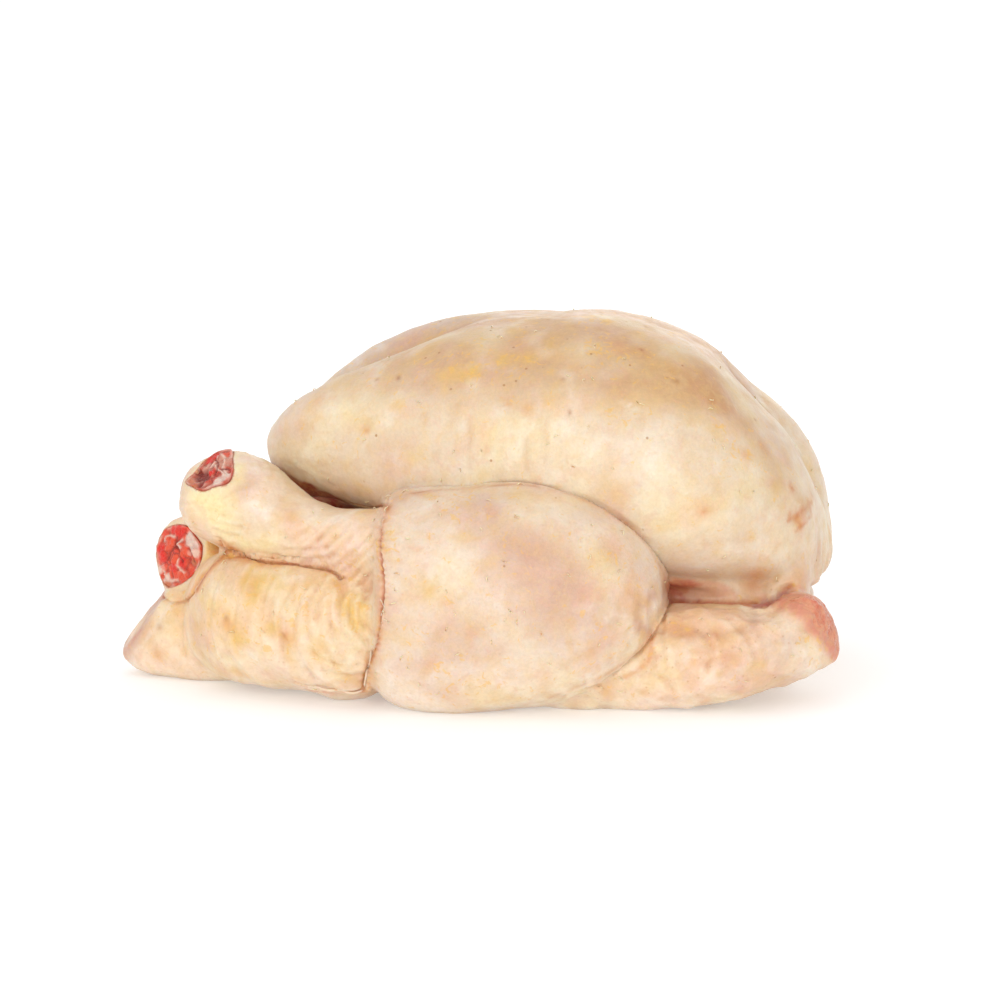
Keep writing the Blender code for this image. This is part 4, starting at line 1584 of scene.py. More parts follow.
def tint_breast(colour, points, breast_share):
    """Tan and stained crest, darker on its top as painted shade, a far tip greyed as painted shade,
    a rosy far shoulder, and painted warm light on the underside.
    """
    x, y, z = points.T
    stained = bump(x, 76, 24) * step(z, 88, 104) * (1 - step(np.abs(y), 40, 52))
    for tint, strength, share in (
        # Partly the crest's own tan, and partly painted shade that darkens the breast's top.
        (TAN, 0.75, step(z + 3 * swell(points, 14), 92, 116)),
        (STAIN, 0.75, stained * (0.7 + 0.5 * swell(points, 11, 7.7))),
        # Painted shade on the far lobe behind the near crest.
        (FAR_TIP, 0.85, step(y, 2, 10) * (1 - step(x, -20, 10)) * step(z, 80, 95)),
        (ROSE, 0.35, step(y, 10, 25) * step(x, 92, 104)),
        # Painted warm light on the underside of the breast's tip.
        (UNDER_BREAST_LIGHT, 0.6, bump(x, -50, 14) * (1 - step(z, 58, 74)) * step(z, 50, 58)),
    ):
        colour = blend(colour, tint, strength * breast_share * share)
    return colour


def paint_keel_shade_and_highlight(colour, points, tree):
    """Painted warm shade in the groove along the middle of the breast, painted mauve shade on its far
    side and a pale painted highlight on its near one.
    """
    y = points[:, 1]
    for line in keel_lines(tree):
        gap = np.minimum(line_distance(points, line), FAR_AWAY)
        # Painted warm shade in the groove, mauve painted shade on the far side and a painted highlight
        # along the near crest.
        colour = blend(colour, CREASE, 0.15 * bump(gap, 0, 1.2))
        colour = blend(colour, MAUVE, 0.55 * bump(gap, 1, 3.2) * step(y, -1, 1.5))
        colour = blend(colour, WHITE, 0.35 * bump(gap, 3, 1.5) * step(-y, 0, 2))
    return colour


def mottle(colour, points, shares):
    """Painted light paling the skin low down, cloudy patches over all of it, and warmer ones on the
    limbs.
    """
    skin = 1 - shares["cavity"]
    # Painted light from below: paler skin low down.
    colour = blend(colour, LOW_SKIN_LIGHT, 0.75 * (1 - step(points[:, 2], 2, 30)) * skin)
    for tint, size, seed, least, strength in CLOUDS:
        colour = blend(colour, tint, strength * skin * step(swell(points, size, seed), least, 0.55))
    limb = shares["rump"] + shares["wing"] + 0.5 * shares["tail"]
    colour = blend(colour, ORANGE, 0.2 * limb * step(swell(points, 6, 6.1), 0, 0.5))
    return blend(colour, YELLOW, 0.3 * shares["rump"] * step(swell(points, 8, 7.1), 0, 0.5))


def tint_cuts(colour, points, wing_share, cuts):
    """Raw edges and pale surroundings of the wing ends, and the rims and walls of the hocks."""
    for name in ("near_wing", "far_wing"):
        gap = beside_wing_end(points, cuts[name]) + 2 * swell(points, 6, 4.9)
        colour = blend(colour, WHITE, 0.4 * bump(gap, 8, 4) * wing_share)
        colour = blend(colour, RAW_END, 0.85 * (1 - step(gap, 0, 3.5)) * wing_share)
    for name in ("near_shank", "far_shank"):
        flat = cuts[name].flat(points)
        gap, _ = cuts[name].edge(flat[:, :2])
        colour = blend(colour, CREAM, 0.5 * bump(gap, 1.2, 1.0) * bump(flat[:, 2], 0, 2.5))
        wall = (1 - step(gap, -0.1, 0.4)) * (np.abs(flat[:, 2]) < PIT_WALL_REACH)
        colour = blend(colour, PIT_WALL, 0.9 * wall)
    return colour


def skin_colour(points, shares, hollow, tree, cuts):
    """Colour of each point of the skin, before the fine mottling of the material."""
    skin = 1 - shares["cavity"]
    colour = sum(shares[name][:, None] * BASE[name] for name in BASE)
    colour = tint_breast(colour, points, shares["breast"])
    colour = paint_keel_shade_and_highlight(colour, points, tree)
    colour = mottle(colour, points, shares)
    colour = lay_marks(colour, points, tree)
    colour = paint_fold_shade(colour, points, tree)
    # Painted shade in the hollows of the skin, and painted light that makes its bulges paler.
    colour = blend(colour, CREASE, 0.5 * step(hollow, 0.12, 0.9) * skin)
    colour = blend(colour, WHITE, 0.2 * step(-hollow, 0.08, 0.45) * skin)
    colour = lay_patches(colour, points)
    return tint_cuts(colour, points, shares["wing"], cuts)


def write_attribute(piece, name, values):
    """Stores a number or a colour for each point, which the materials read by this name."""
    kind = "FLOAT_COLOR" if values.ndim == 2 else "FLOAT"
    made = piece.data.attributes.new(name, kind, "POINT")
    if values.ndim == 2:
        whole = np.hstack([values, np.ones((len(values), 1))])
        made.data.foreach_set("color", whole.ravel())
    else:
        made.data.foreach_set("value", values)


def skin_tree(piece):
    polygons = [tuple(p.vertices) for p in piece.data.polygons]
    return BVHTree.FromPolygons(points_of(piece).tolist(), polygons)


def bird_shape(regions, voxel):
    """The whole bird under one skin, hollow, without its relief."""
    body = mesh_object("skin", regions["breast"] + regions["flank"])
    one_skin(body, voxel)
    for shape in regions["recess"]:
        cut_away(body, shape)
    add_masses(body, [shape for name in LIMBS for shape in regions[name]])
    one_skin(body, voxel)
    cut_away(body, regions["cavity"][0])
    one_skin(body, voxel)
    return body


def fitted_skin(regions, cuts):
    """The bird's skin before its relief, finest near folds, small marks and cuts, and its tree."""
    close_shape = bird_shape(regions, CLOSE_VOXEL)
    evener = Evener(close_shape.data)
    set_points(close_shape, evener.smooth(points_of(close_shape), SOFTEN_ROUNDS))
    tree = skin_tree(close_shape)
    bpy.data.objects.remove(close_shape)
    body = bird_shape(parted(regions), VOXEL)
    points = points_of(body)
    chosen = near_lines(points, tree, SPLIT_LINES[0]) | near_small_marks(points, tree, SPLIT_MARKS[0])
    refine(body, fine_zone(points) | chosen)
    points = points_of(body)
    chosen = near_lines(points, tree, SPLIT_LINES[1]) | near_small_marks(points, tree, SPLIT_MARKS[1])
    for cut in cuts.values():
        chosen |= np.linalg.norm(points - cut.middle, axis=1) < SPLIT_CUTS
    refine(body, chosen)
    set_points(body, laid_on(points_of(body), tree))
    set_points(body, Evener(body.data).smooth(points_of(body), 1))
    return body, tree


def make_skin(regions, cuts):
    """The whole bird's skin with its relief, its cuts and its colours."""
    body, tree = fitted_skin(regions, cuts)
    add_relief(body, tree)
    open_cuts(body, cuts)
    rest_flat(body)
    colour_skin(body, regions, cuts)
    return body


def colour_skin(body, regions, cuts):
    """Stores what the skin's material reads at each point."""
    points = points_of(body)
    hollow = local_hollow(points, normals_of(body), Evener(body.data), HOLLOW_ROUNDS)
    shares = nearness(points, regions)
    tree = skin_tree(body)
    colour = skin_colour(points, shares, hollow, tree, cuts)
    write_attribute(body, "skin_colour", np.clip(colour, 0, 1))
    yellow, brown = fleck_shares(points, shares, tree)
    write_attribute(body, "yellow_flecks", yellow)
    write_attribute(body, "brown_dots", brown)
    goose = 0.25 + sum(more * shares[name] for name, more in GOOSE.items())
    write_attribute(body, "goose", np.clip(goose, 0, 1))
    write_attribute(body, "wetness", shares["cavity"] + shares["flank"] * 0.4)


# Flesh at the cuts.

# Spots on a cut's flesh: pixel, radius, lift and colour.
# Strands on it: half width, lift, colour and pixels.
NEAR_SPOTS = (
    (190, 483, 2.6, 0.0, RUST), (203, 477, 3.9, 0.4, BONE), (202, 476, 3.0, -1.8, DARK_RED),
    (199, 472, 1.3, -1.2, DARK_RED), (201, 484, 1.4, -1.0, DARK_RED), (207, 478, 2.0, -0.6, DARK_RED),
    (213, 474, 1.4, 0.2, BRIGHT_RED), (211, 461, 1.9, 0.3, BRIGHT_RED), (217, 457, 1.7, 0.3, BRIGHT_RED),
    (208, 467, 1.5, 0.2, BONE), (226, 463, 3.4, 0.5, GRISTLE), (229, 455, 1.8, 0.3, FLESH),
    (227, 477, 2.0, 0.3, PALE_GRISTLE), (218, 483, 2.0, 0.2, PALE_GRISTLE), (194, 488, 1.4, 0.1, RUST),
)
NEAR_STRANDS = (
    (0.4, 0.5, SINEW, ((219, 458), (217, 464), (212, 469))),
    (0.45, 0.5, SINEW, ((216, 468), (222, 473), (228, 479))),
    (0.4, 0.4, SINEW, ((222, 455), (226, 462), (224, 470), (229, 476))),
    (0.35, -0.5, DARK_RED, ((217, 462), (220, 468), (216, 476))),
    (0.35, -0.4, DARK_RED, ((222, 471), (230, 470))),
    (0.45, 0.3, SINEW, ((186, 480), (193, 474), (199, 469))),
)
FAR_SPOTS = (
    (181, 531, 3.0, 0.2, BRIGHT_RED), (174, 530, 1.6, 0.3, BRIGHT_RED), (172, 544, 3.0, 0.5, FLESH),
    (162, 549, 2.4, 0.3, BRIGHT_RED), (164, 557, 2.2, 0.2, BRIGHT_RED), (185, 550, 2.6, 0.5, FLESH),
    (192, 539, 3.0, 0.5, PALE_GRISTLE), (196, 546, 2.6, 0.5, PALE_GRISTLE), (198, 553, 1.8, 0.4, SINEW),
    (184, 563, 2.2, 0.2, BRIGHT_RED), (176, 568, 1.8, 0.1, BRIGHT_RED), (184, 576, 2.4, 0.5, FLESH),
    (168, 578, 2.0, 0.3, SINEW), (168, 587, 2.2, 0.2, RUST), (195, 562, 1.4, 0.3, RUST),
    (161, 570, 1.6, 0.2, SINEW),
)
FAR_STRANDS = (
    (0.4, -0.9, DARK_RED, ((178, 538), (177, 545), (173, 552), (169, 560))),
    (0.4, -0.7, DARK_RED, ((177, 546), (182, 553), (185, 562))),
    (0.35, -0.6, DARK_RED, ((190, 549), (194, 556), (196, 562))),
    (0.45, 0.5, SINEW, ((181, 559), (181, 567), (186, 573))),
    (0.5, 0.4, SINEW, ((165, 572), (171, 580), (179, 580))),
    (0.4, 0.4, SINEW, ((166, 541), (170, 536), (176, 537))),
    (0.45, 0.5, PALE_GRISTLE, ((184, 540), (180, 545), (183, 548))),
)
# Flesh of each cut from its face inwards: middle and radius.
NEAR_SHANK_RUN = ((-82.5, -23.5, 67.0, 8.6), (-74, -25.5, 62.8, 7.6), (-62, -31, 57.8, 4.8),
                  (-48, -37.5, 54.8, 3.8))
FAR_SHANK_RUN = ((-91, 6, 41.3, 9.6), (-80, 15, 42.5, 8.2), (-66, 25, 45, 6.2), (-52, 34, 48.5, 4.4))
WING_RUN = ((102, -46.5, 23, 7.5), (88, -48.2, 20.4, 7), (70, -50, 18, 6), (52, -48.5, 15.5, 4.4))
FAR_WING_RUN = [
    (*(place * MIRROR + np.array(FAR_WING_SHIFT)), radius) for *place, radius in WING_RUN
]

# Flesh of a cut hock and of a raw wing end: rise of its middle, size and height of its lumps,
# shares of red and pale flecks in it, and colours of its cracks and its rim.
HOCK = {
    "dome": 1.2,
    "lump_size": 4.2,
    "lump_height": 0.9,
    "red": 0.45,
    "pale": 0.4,
    "crack": DARK_RED,
    "rim": SINEW,
}
WING_END = {
    "dome": 0.7,
    "lump_size": 6.5,
    "lump_height": 0.4,
    "red": 0.2,
    "pale": 0.35,
    "crack": WING_DARK,
    "rim": WING_FLESH,
}

# Cut, run, kind, spots, strands and ground colour of each piece of flesh.
FLESHES = (
    ("near_shank", NEAR_SHANK_RUN, HOCK, NEAR_SPOTS, NEAR_STRANDS, NEAR_FLESH),
    ("far_shank", FAR_SHANK_RUN, HOCK, FAR_SPOTS, FAR_STRANDS, FLESH),
    ("near_wing", WING_RUN, WING_END, (), (), WING_FLESH),
    ("far_wing", FAR_WING_RUN, WING_END, (), (), WING_FLESH),
)
FACE_RINGS = 26
FACE_SIDES = 120


def face_grid(cut):
    """Flat places of rings from the middle of a cut out to its outline."""
    turns = np.linspace(0, 2 * math.pi, FACE_SIDES, endpoint=False)
    angles = np.arctan2(cut.outline[:, 1], cut.outline[:, 0])
    order = np.argsort(angles)
    reach = np.interp(turns, angles[order] % (2 * math.pi), np.hypot(*cut.outline[order].T),
                      period=2 * math.pi)
    shares = np.linspace(0, 1, FACE_RINGS + 1)[1:]
    rings = shares[:, None] * reach[None, :] * 0.995
    return np.stack([rings * np.cos(turns), rings * np.sin(turns)], axis=2)


def lumps(points, size, seed):
    """Height of rounded lumps about size wide, and how deep in the cracks between each point is."""
    gaps = []
    for place in (points / size + seed).tolist():
        near = noise.voronoi(Vector(place))[0]
        gaps.append(near[1] - near[0])
    gaps = np.array(gaps)
    return np.minimum(1, 1.8 * gaps), 1 - step(gaps, 0.0, 0.2)


def lay_on_face(lift, colour, ragged, cut, spots, strands):
    """Lays the spots and strands of a cut hock over its flesh."""
    shares = []
    for x, y, radius, height, tint in spots:
        away = np.linalg.norm(ragged - cut.pixel((x, y)), axis=1)
        shares.append((1 - step(away, 0.6 * radius, 1.2 * radius), height, tint))
    for width, height, tint, pixels in strands:
        line = smooth_line([cut.pixel(p) for p in pixels])
        away = np.full(len(ragged), np.inf)
        for a, b in zip(line[:-1], line[1:]):
            away = np.minimum(away, np.linalg.norm(ragged - nearest_on(ragged, a, b)[0], axis=1))
        shares.append((bump(away, 0, width), height, tint))
    for share, height, tint in shares:
        lift = lift + height * share
        colour = blend(colour, tint, 0.9 * share)
    return lift, colour


def face_relief(flat, cut, kind, spots, strands, base):
    """Lift and colour of each place on a cut's flesh."""
    points = np.hstack([flat, np.zeros((len(flat), 1))])
    gap, _ = cut.edge(flat)
    seed = float(abs(cut.middle[1]))
    inner = step(-gap, 0, 2)
    lift = kind["dome"] * step(-gap, -1, 9) + 0.25 * (1 - step(-gap, 0.2, 1.2))
    warped = points.copy()
    warped[:, :2] += 0.9 * swells(points, 3, (2.5, 7.5))
    lump, crack = lumps(warped, kind["lump_size"], seed)
    lift += inner * (kind["lump_height"] * (lump - 0.5) + 0.35 * swell(points, 2.2, seed + 4.2))
    lift += 0.2 * inner * crepe(points, 1.4, (1, 1, 1), seed)
    colour = np.tile(base, (len(flat), 1))
    colour = blend(colour, BRIGHT_RED, kind["red"] * step(swell(points, 3, seed + 2.2), 0, 0.5))
    colour = blend(colour, SINEW, kind["pale"] * step(swell(points, 2.4, seed + 6.6), 0.1, 0.5))
    colour = blend(colour, kind["crack"], 0.6 * crack * inner)
    if kind is WING_END:
        streaks = step(swell(points * (2.2, 0.5, 1), 3.0, seed), 0.05, 0.4)
        colour = blend(colour, WING_RED, (0.25 + 0.6 * step(flat[:, 0], 0, 6)) * streaks)
    ragged = flat + 0.5 * swells(points, 1.8, (1.5, 8.5))
    lift, colour = lay_on_face(lift, colour, ragged, cut, spots, strands)
    rim = bump(gap, 0, 0.7) * step(swell(points, 4, seed + 1.4), -0.15, 0.3)
    return lift, blend(colour, kind["rim"], 0.7 * rim)


def skin_heights(flat, cut, tree):
    """How far the skin under each place of a cut's face lies above the face."""
    starts = cut.place(np.hstack([flat, np.full((len(flat), 1), 15.0)]))
    down = -Vector(cut.facing)
    hits = [tree.ray_cast(Vector(start), down, 30)[0] for start in starts]
    heights = [-3.0 if hit is None else (np.array(hit) - cut.middle) @ cut.facing for hit in hits]
    return np.array(heights)


def run_rings(edge, cut, run):
    """Rings of points that lead from a cut's edge along its flesh into the limb."""
    rings = [cut.place(edge)]
    before = cut.middle
    turns = np.linspace(0, 2 * math.pi, FACE_SIDES, endpoint=False)
    for x, y, z, radius in run:
        place = np.array((x, y, z))
        axis = Vector(before - place).normalized()
        side = Vector((0, 0, 1)).cross(axis).normalized()
        up = axis.cross(side)
        round_axis = np.cos(turns)[:, None] * np.array(side) + np.sin(turns)[:, None] * np.array(up)
        rings.append(place + radius * round_axis)
        before = place
    return rings


def make_flesh(name, cut, run, kind, spots, strands, base, tree):
    """Flesh at a cut: a detailed face, and the rod behind it that runs into the limb.

    The face of a cut hock fills its pit, and that of a raw wing end lies on the skin.
    """
    grid = face_grid(cut)
    flat = np.vstack([[[0.0, 0.0]], grid.reshape(-1, 2)])
    lift, colour = face_relief(flat, cut, kind, spots, strands, base)
    if kind is WING_END:
        gap, _ = cut.edge(flat)
        lift += skin_heights(flat, cut, tree) - 0.7 * (1 - step(-gap, 0, 1.2))
    face = cut.place(np.hstack([flat, lift[:, None]]))
    edge = np.hstack([grid[-1] * 0.97, lift[-FACE_SIDES:, None] - 1.5])
    hidden = np.vstack([*run_rings(edge, cut, run), np.array([run[-1][:3]])])
    faces = tube_faces(FACE_RINGS + 1 + len(run), FACE_SIDES)
    flesh = mesh_object(name, [(np.vstack([face, hidden]), [tuple(reversed(f)) for f in faces])])
    colours = np.vstack([colour, np.tile(base, (len(hidden), 1))])
    write_attribute(flesh, "flesh_colour", np.clip(colours, 0, 1))
    return flesh


# Feather stubs and loose threads of skin.

# Stubs that the photograph shows: pixel, turn on the picture in degrees, length in millimetres.
SEEN_STUBS = (
    (517, 514, 20, 2.6), (518, 622, 80, 2.2), (511, 611, 40, 3.0), (619, 625, 15, 2.6),
    (600, 645, 100, 2.0), (550, 663, 0, 2.0), (458, 655, 150, 2.4), (520, 485, 5, 3.0),
    (472, 386, 90, 2.0), (418, 403, 40, 2.4), (573, 467, 20, 1.6), (714, 440, 60, 1.6),
    (723, 447, 60, 2.0), (624, 359, 30, 1.6), (393, 604, 160, 3.4), (386, 622, 20, 3.0),
    (397, 575, 170, 2.6), (396, 588, 10, 3.0), (231, 634, 15, 3.2), (262, 630, 30, 2.6),
    (447, 591, 60, 1.6), (402, 658, 120, 2.8), (408, 668, 30, 2.0), (437, 692, 150, 2.6),
    (420, 684, 60, 2.0), (492, 642, 80, 1.6), (568, 575, 40, 2.0), (590, 557, 110, 2.2),
    (405, 492, 20, 2.6), (388, 497, 40, 2.6), (365, 575, 150, 2.2), (640, 402, 25, 3.4),
    (540, 634, 85, 2.2), (480, 530, 70, 2.0), (505, 560, 20, 2.2), (460, 470, 90, 1.6),
    (700, 620, 20, 2.0), (740, 650, 60, 2.0), (620, 690, 10, 3.0), (600, 688, 20, 2.4),
)
RANDOM_STUBS = 190
STUB_RADIUS = 0.2
STUB_SIDES = 5
STUB_RINGS = 6

# How far from the middle of a cut no stub grows.
FEATHERLESS = 14

# Threads of skin by pixels: radius in millimetres, then the line.
THREADS = (
    (0.45, ((371, 650), (370, 660), (367, 672), (365, 687))),
    (0.6, ((313, 686), (325, 689), (340, 690), (352, 692), (363, 690))),
    (0.4, ((300, 683), (312, 687), (322, 690))),
    (0.35, ((381, 598), (384, 607), (380, 616), (382, 626))),
)


def rod(places, radii, sides):
    """Points and faces of a round rod that ends in a point at both ends."""
    points = [places[0]]
    for i in range(1, len(places) - 1):
        along = Vector(places[i + 1] - places[i - 1]).normalized()
        side = along.orthogonal().normalized()
        up = along.cross(side)
        for k in range(sides):
            turn = 2 * math.pi * k / sides
            ring = np.array(side) * math.cos(turn) + np.array(up) * math.sin(turn)
            points.append(places[i] + ring * radii[i])
    points.append(places[-1])
    return np.array(points), tube_faces(len(places) - 2, sides)


def stub(place, normal, direction, length, bend):
    """A short curl that lies on the skin, sunk in at its root."""
    normal = np.array(normal)
    direction = direction - normal * (direction @ normal)
    direction /= max(np.linalg.norm(direction), 1e-6)
    side = np.cross(normal, direction)
    shares = np.linspace(0, 1, STUB_RINGS + 2)
    places, radii = [], []
    for t in shares:
        lift = 0.55 * math.sin(math.pi * min(1, 1.15 * t)) - 0.12
        move = direction * length * (t - 0.4) + side * bend * length * math.sin(math.pi * t)
        places.append(np.array(place) + move + normal * lift)
        radii.append(STUB_RADIUS * (1.1 - 0.7 * t))
    return rod(places, radii, STUB_SIDES)


def make_stubs(tree, cuts):
    """Stubs where the photograph shows them, and others strewn over the whole bird."""
    draw = random.Random(31)
    shapes = []
    for x, y, turn, length in SEEN_STUBS:
        place, normal = tree.ray_cast(EYE, photo_ray((x, y)))[:2]
        angle = math.radians(turn)
        direction = np.array((math.cos(angle), 0, -math.sin(angle)))
        shapes.append(stub(place, normal, direction, length, draw.uniform(-0.35, 0.35)))
    while len(shapes) < len(SEEN_STUBS) + RANDOM_STUBS:
        aim = Vector((draw.uniform(-115, 112), draw.uniform(-20, 20), draw.uniform(20, 60)))
        away = Vector((draw.gauss(0, 0.6), draw.gauss(0, 1), draw.gauss(0.3, 0.6))).normalized()
        place, normal = tree.ray_cast(aim + away * 300, -away)[:2]
        direction = np.array([draw.gauss(0, 1) for _ in range(3)])
        length = draw.uniform(0.9, 2.6)
        bend = draw.uniform(-0.5, 0.5)
        if place is None or place.z < 4 or near_a_cut(place, cuts):
            continue
        shapes.append(stub(place, normal, direction, length, bend))
    return mesh_object("feather_stubs", shapes)


def near_a_cut(place, cuts):
    """Whether a place is too near to a cut for a feather."""
    away = [np.linalg.norm(np.array(place) - cut.middle) for cut in cuts.values()]
    return min(away) < FEATHERLESS


def make_threads(tree):
    """Loose shreds of skin at the edges of folds."""
    shapes = []
    for radius, pixels in THREADS:
        line = skin_line(pixels, tree)
        wobble = swells(line, 6, (3.0, 5.0, 7.0))
        places = line + np.array((0, -0.5 * radius, 0)) + 0.8 * wobble
        shares = np.linspace(0, 1, len(places))
        radii = radius * (0.5 + 0.5 * np.sin(math.pi * shares)) * (1 + 0.3 * swell(line, 3, 1.0))
        shapes.append(rod(list(places), radii, 8))
    return mesh_object("skin_threads", shapes)


# Materials.

# Millimetres between the small brown dots and between the feather follicles, and depth in metres of
# the fine relief.
DOT_SPACING = 4.2
FOLLICLE_SPACING = 2.7
RELIEF_DISTANCE = 0.0003


class Nodes:
    """One material and its nodes. An input is a number, a colour or the output of another node."""

    def __init__(self, name, **values):
        self.material = bpy.data.materials.new(name)
        self.material.use_nodes = True
        self.tree = self.material.node_tree
        self.shader = self.tree.nodes["Principled BSDF"]
        for key, value in values.items():
            socket = key.replace("_", " ").title().replace("Ior", "IOR")
            self.shader.inputs[socket].default_value = value
        self.place = self.add("ShaderNodeTexCoord").outputs["Object"]

    def add(self, kind, inputs=(), **settings):
        """A new node with its inputs, by name or number, and its settings."""
        made = self.tree.nodes.new(kind)
        for key, value in settings.items():
            setattr(made, key, value)
        for socket, value in dict(inputs).items():
            if isinstance(value, bpy.types.NodeSocket):
                self.tree.links.new(value, made.inputs[socket])
            else:
                made.inputs[socket].default_value = value
        return made

    def shade(self, socket, output):
        """Lets the shader read an output."""
        self.tree.links.new(output, self.shader.inputs[socket])

    def attribute(self, name, output="Fac"):
        """Values stored at the points."""
        return self.add("ShaderNodeAttribute", attribute_name=name).outputs[output]

    def noise(self, size, detail=3.0, distortion=0.0):
        """Noise whose swellings are about size millimetres wide."""
        inputs = {
            "Vector": self.place,
            "Scale": 1 / (size * MM),
            "Detail": detail,
            "Distortion": distortion,
        }
        return self.add("ShaderNodeTexNoise", inputs).outputs["Fac"]

    def cells(self, size):
        """Cells about size millimetres wide."""
        return self.add("ShaderNodeTexVoronoi", {"Vector": self.place, "Scale": 1 / (size * MM)})

    def ramp(self, value, low, high, low_to=0.0, high_to=1.0):
        """Smooth rise from low_to to high_to while the value goes from low to high."""
        inputs = enumerate((value, low, high, low_to, high_to))
        made = self.add("ShaderNodeMapRange", inputs, interpolation_type="SMOOTHSTEP")
        return made.outputs["Result"]

    def calculate(self, operation, first, second):
        return self.add("ShaderNodeMath", {0: first, 1: second}, operation=operation).outputs[0]

    def times(self, first, second):
        return self.calculate("MULTIPLY", first, second)

    def plus(self, first, second):
        return self.calculate("ADD", first, second)

    def mix(self, share, under, over, blend_type="MIX"):
        inputs = {0: share, 6: under, 7: over}
        return self.add("ShaderNodeMix", inputs, data_type="RGBA", blend_type=blend_type).outputs[2]

    def tint(self, under, colour, share, strength):
        """A colour laid over another, by a share and its strength."""
        return self.mix(self.times(share, strength), under, (*colour, 1))

    def grey(self, value):
        return self.add("ShaderNodeCombineColor", dict.fromkeys(range(3), value)).outputs[0]

    def relief(self, height, strength):
        """Fine relief of the surface."""
        inputs = {"Height": height, "Strength": strength, "Distance": RELIEF_DISTANCE}
        self.shade("Normal", self.add("ShaderNodeBump", inputs).outputs[0])


def mottled_skin(nodes):
    """The skin's colour with yellow and pink mottling, yellow flecks and brown dots."""
    colour = nodes.attribute("skin_colour", "Color")
    yellow = nodes.ramp(nodes.noise(3.2, 6, 0.6), 0.42, 0.66)
    colour = nodes.tint(colour, SKIN_YELLOW, yellow, 0.22)
    pink = nodes.ramp(nodes.noise(5.5, 6, 0.8), 0.5, 0.72)
    colour = nodes.tint(colour, SKIN_PINK, pink, 0.2)
    thick = nodes.times(nodes.attribute("yellow_flecks"), 0.34)
    fleck = nodes.ramp(nodes.plus(nodes.noise(2.6, 6, 1.0), thick), 0.68, 0.78)
    colour = nodes.tint(colour, SKIN_FLECK, fleck, 0.5)
    cells = nodes.cells(DOT_SPACING)
    chance = nodes.add("ShaderNodeSeparateColor", {0: cells.outputs["Color"]}).outputs[0]
    often = nodes.times(nodes.attribute("brown_dots"), 0.5)
    drawn = nodes.ramp(nodes.plus(chance, often), 0.99, 1.01)
    small = nodes.ramp(cells.outputs["Distance"], 0.06, 0.15, 1.0, 0.0)
    colour = nodes.tint(colour, SKIN_DOT, nodes.times(drawn, small), 0.7)
    fine = nodes.ramp(nodes.noise(1.1, 4, 0.8), 0.3, 0.7, 0.96, 1.03)
    return nodes.mix(1.0, colour, nodes.grey(fine), "MULTIPLY")


def skin_material():
    """Moist pale skin with fine mottling, pores and feather follicles."""
    nodes = Nodes(
        "raw_skin",
        subsurface_weight=0.3,
        subsurface_radius=(1.0, 0.42, 0.22),
        subsurface_scale=0.0035,
        specular_ior_level=0.4,
        coat_weight=0.16,
        coat_roughness=0.2,
    )
    goose = nodes.attribute("goose")
    follicle = nodes.cells(FOLLICLE_SPACING).outputs["Distance"]
    dot = nodes.ramp(follicle, 0.05, 0.2, 1.0, 0.0)
    knob = nodes.ramp(follicle, 0.0, 0.5, 1.0, 0.0)
    nodes.shade(
        "Base Color", nodes.tint(mottled_skin(nodes), FOLLICLE, nodes.times(dot, goose), 0.35)
    )
    height = nodes.times(knob, nodes.times(goose, 0.9))
    height = nodes.plus(height, nodes.times(nodes.noise(1.6, 6, 1.2), 0.9))
    height = nodes.plus(height, nodes.times(nodes.noise(0.45, 2), 0.25))
    nodes.relief(height, 0.5)
    gloss = nodes.ramp(nodes.noise(4, 4), 0.3, 0.7, 0.34, 0.5)
    wetness = nodes.times(nodes.attribute("wetness"), 0.15)
    nodes.shade("Roughness", nodes.calculate("SUBTRACT", gloss, wetness))
    return nodes.material


def flesh_material():
    """Wet flesh, marrow, bone and sinew, coloured where they lie on the cut."""
    nodes = Nodes(
        "raw_flesh",
        subsurface_weight=0.2,
        subsurface_radius=(1.0, 0.25, 0.15),
        subsurface_scale=0.002,
        coat_weight=0.15,
        coat_roughness=0.15,
        specular_ior_level=0.3,
    )
    colour = nodes.attribute("flesh_colour", "Color")
    colour = nodes.tint(colour, FIBRE, nodes.ramp(nodes.noise(0.7, 5, 1.5), 0.35, 0.7), 0.1)
    colour = nodes.tint(colour, BLOOD, nodes.ramp(nodes.noise(1.4, 4, 0.5), 0.5, 0.75), 0.3)
    nodes.shade("Base Color", colour)
    nodes.relief(nodes.noise(0.5, 4, 1.0), 0.6)
    nodes.shade("Roughness", nodes.ramp(nodes.noise(1.5), 0.3, 0.7, 0.18, 0.38))
    return nodes.material


def stub_material(name, colour, dark):
    """Horn-like feather root or thread of skin, paler and darker by turns."""
    nodes = Nodes(name, subsurface_weight=0.3, subsurface_scale=0.001, roughness=0.4)
    share = nodes.ramp(nodes.noise(3.5), 0.5, 0.72)
    nodes.shade("Base Color", nodes.mix(share, (*colour, 1), (*dark, 1)))
    return nodes.material


def floor_material():
    """Nearly white and even, and a little bright by itself."""
    nodes = Nodes(
        "pale_floor", roughness=0.9, emission_color=(1, 1, 1, 1), emission_strength=0.25
    )
    shade = nodes.ramp(nodes.noise(300), 0.2, 0.8, 0.8, 0.82)
    nodes.shade("Base Color", nodes.grey(shade))
    return nodes.material


# Floor, light and camera.

# What the lamps point at, in metres.
LIT_PLACE = Vector((0, 0, 0.05))


def make_floor():
    """A pale floor wider than any view."""
    bpy.ops.mesh.primitive_circle_add(vertices=96, radius=30, fill_type="NGON")
    floor = bpy.context.object
    floor.name = "floor"
    floor.data.materials.append(floor_material())


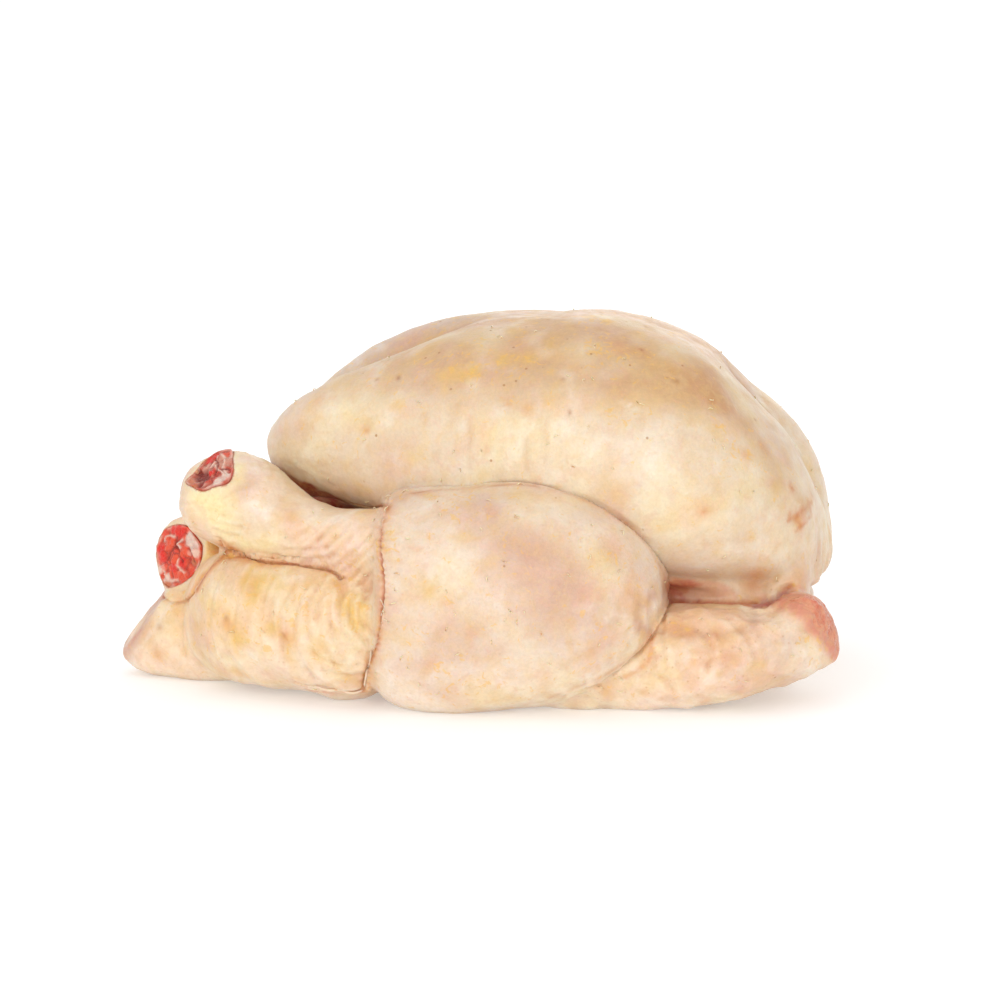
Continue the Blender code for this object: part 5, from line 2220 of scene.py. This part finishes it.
def area_light(name, place, size, watts):
    """A round soft lamp that points at the bird."""
    light = bpy.data.lights.new(name, "AREA")
    light.shape = "DISK"
    light.size = size
    light.energy = watts
    lamp = bpy.data.objects.new(name, light)
    lamp.location = place
    toward = LIT_PLACE - Vector(place)
    lamp.rotation_euler = toward.to_track_quat("-Z", "Y").to_euler()
    bpy.context.scene.collection.objects.link(lamp)


def make_light():
    """An even white surround, and three soft lamps placed in metres."""
    world = bpy.data.worlds.new("studio")
    world.use_nodes = True
    world.node_tree.nodes["Background"].inputs["Color"].default_value = (1, 1, 1, 1)
    world.node_tree.nodes["Background"].inputs["Strength"].default_value = 1.0
    bpy.context.scene.world = world
    area_light("key", (-0.7, -1.4, 0.7), 0.7, 3.8)
    area_light("low", (0.1, -1.5, 0.1), 0.8, 7)
    area_light("back", (0.3, 1.4, 0.5), 0.8, 1.5)
    bpy.context.scene.view_settings.view_transform = "Standard"


def make_camera():
    """The photograph's camera."""
    lens = bpy.data.cameras.new("camera")
    lens.sensor_width = SENSOR
    lens.lens = SENSOR * DISTANCE / (MM_PER_PIXEL * PHOTO_SIDE)
    camera = bpy.data.objects.new("camera", lens)
    camera.location = (EYE + TO_ORIGIN) * MM
    camera.rotation_euler = FORWARD.to_track_quat("-Z", "Y").to_euler()
    bpy.context.scene.collection.objects.link(camera)
    bpy.context.scene.camera = camera


def add_piece(piece, material, node=None):
    """Places a piece over the origin, in its material and slot and for its node of the part."""
    piece.data.transform(Matrix.Translation(TO_ORIGIN * MM))
    piece.data.update()
    piece.data.shade_smooth()
    piece.data.materials.clear()
    piece.data.materials.append(material)
    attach(piece, "root")
    if node:
        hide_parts(node)


def main():
    make_camera()
    make_light()
    make_floor()
    regions = regions_of_bird()
    cuts = all_cuts()
    skin = make_skin(regions, cuts)
    tree = skin_tree(skin)
    add_piece(skin, skin_material(), "chicken")
    add_piece(make_stubs(tree, cuts), stub_material("feather_stub", STUB_PALE, STUB_DARK))
    add_piece(make_threads(tree), stub_material("skin_thread", THREAD_PALE, THREAD_DARK))
    flesh = flesh_material()
    for name, run, kind, spots, strands, base in FLESHES:
        piece = make_flesh(name + "_flesh", cuts[name], run, kind, spots, strands, base, tree)
        add_piece(piece, flesh, name + "_core")


main()
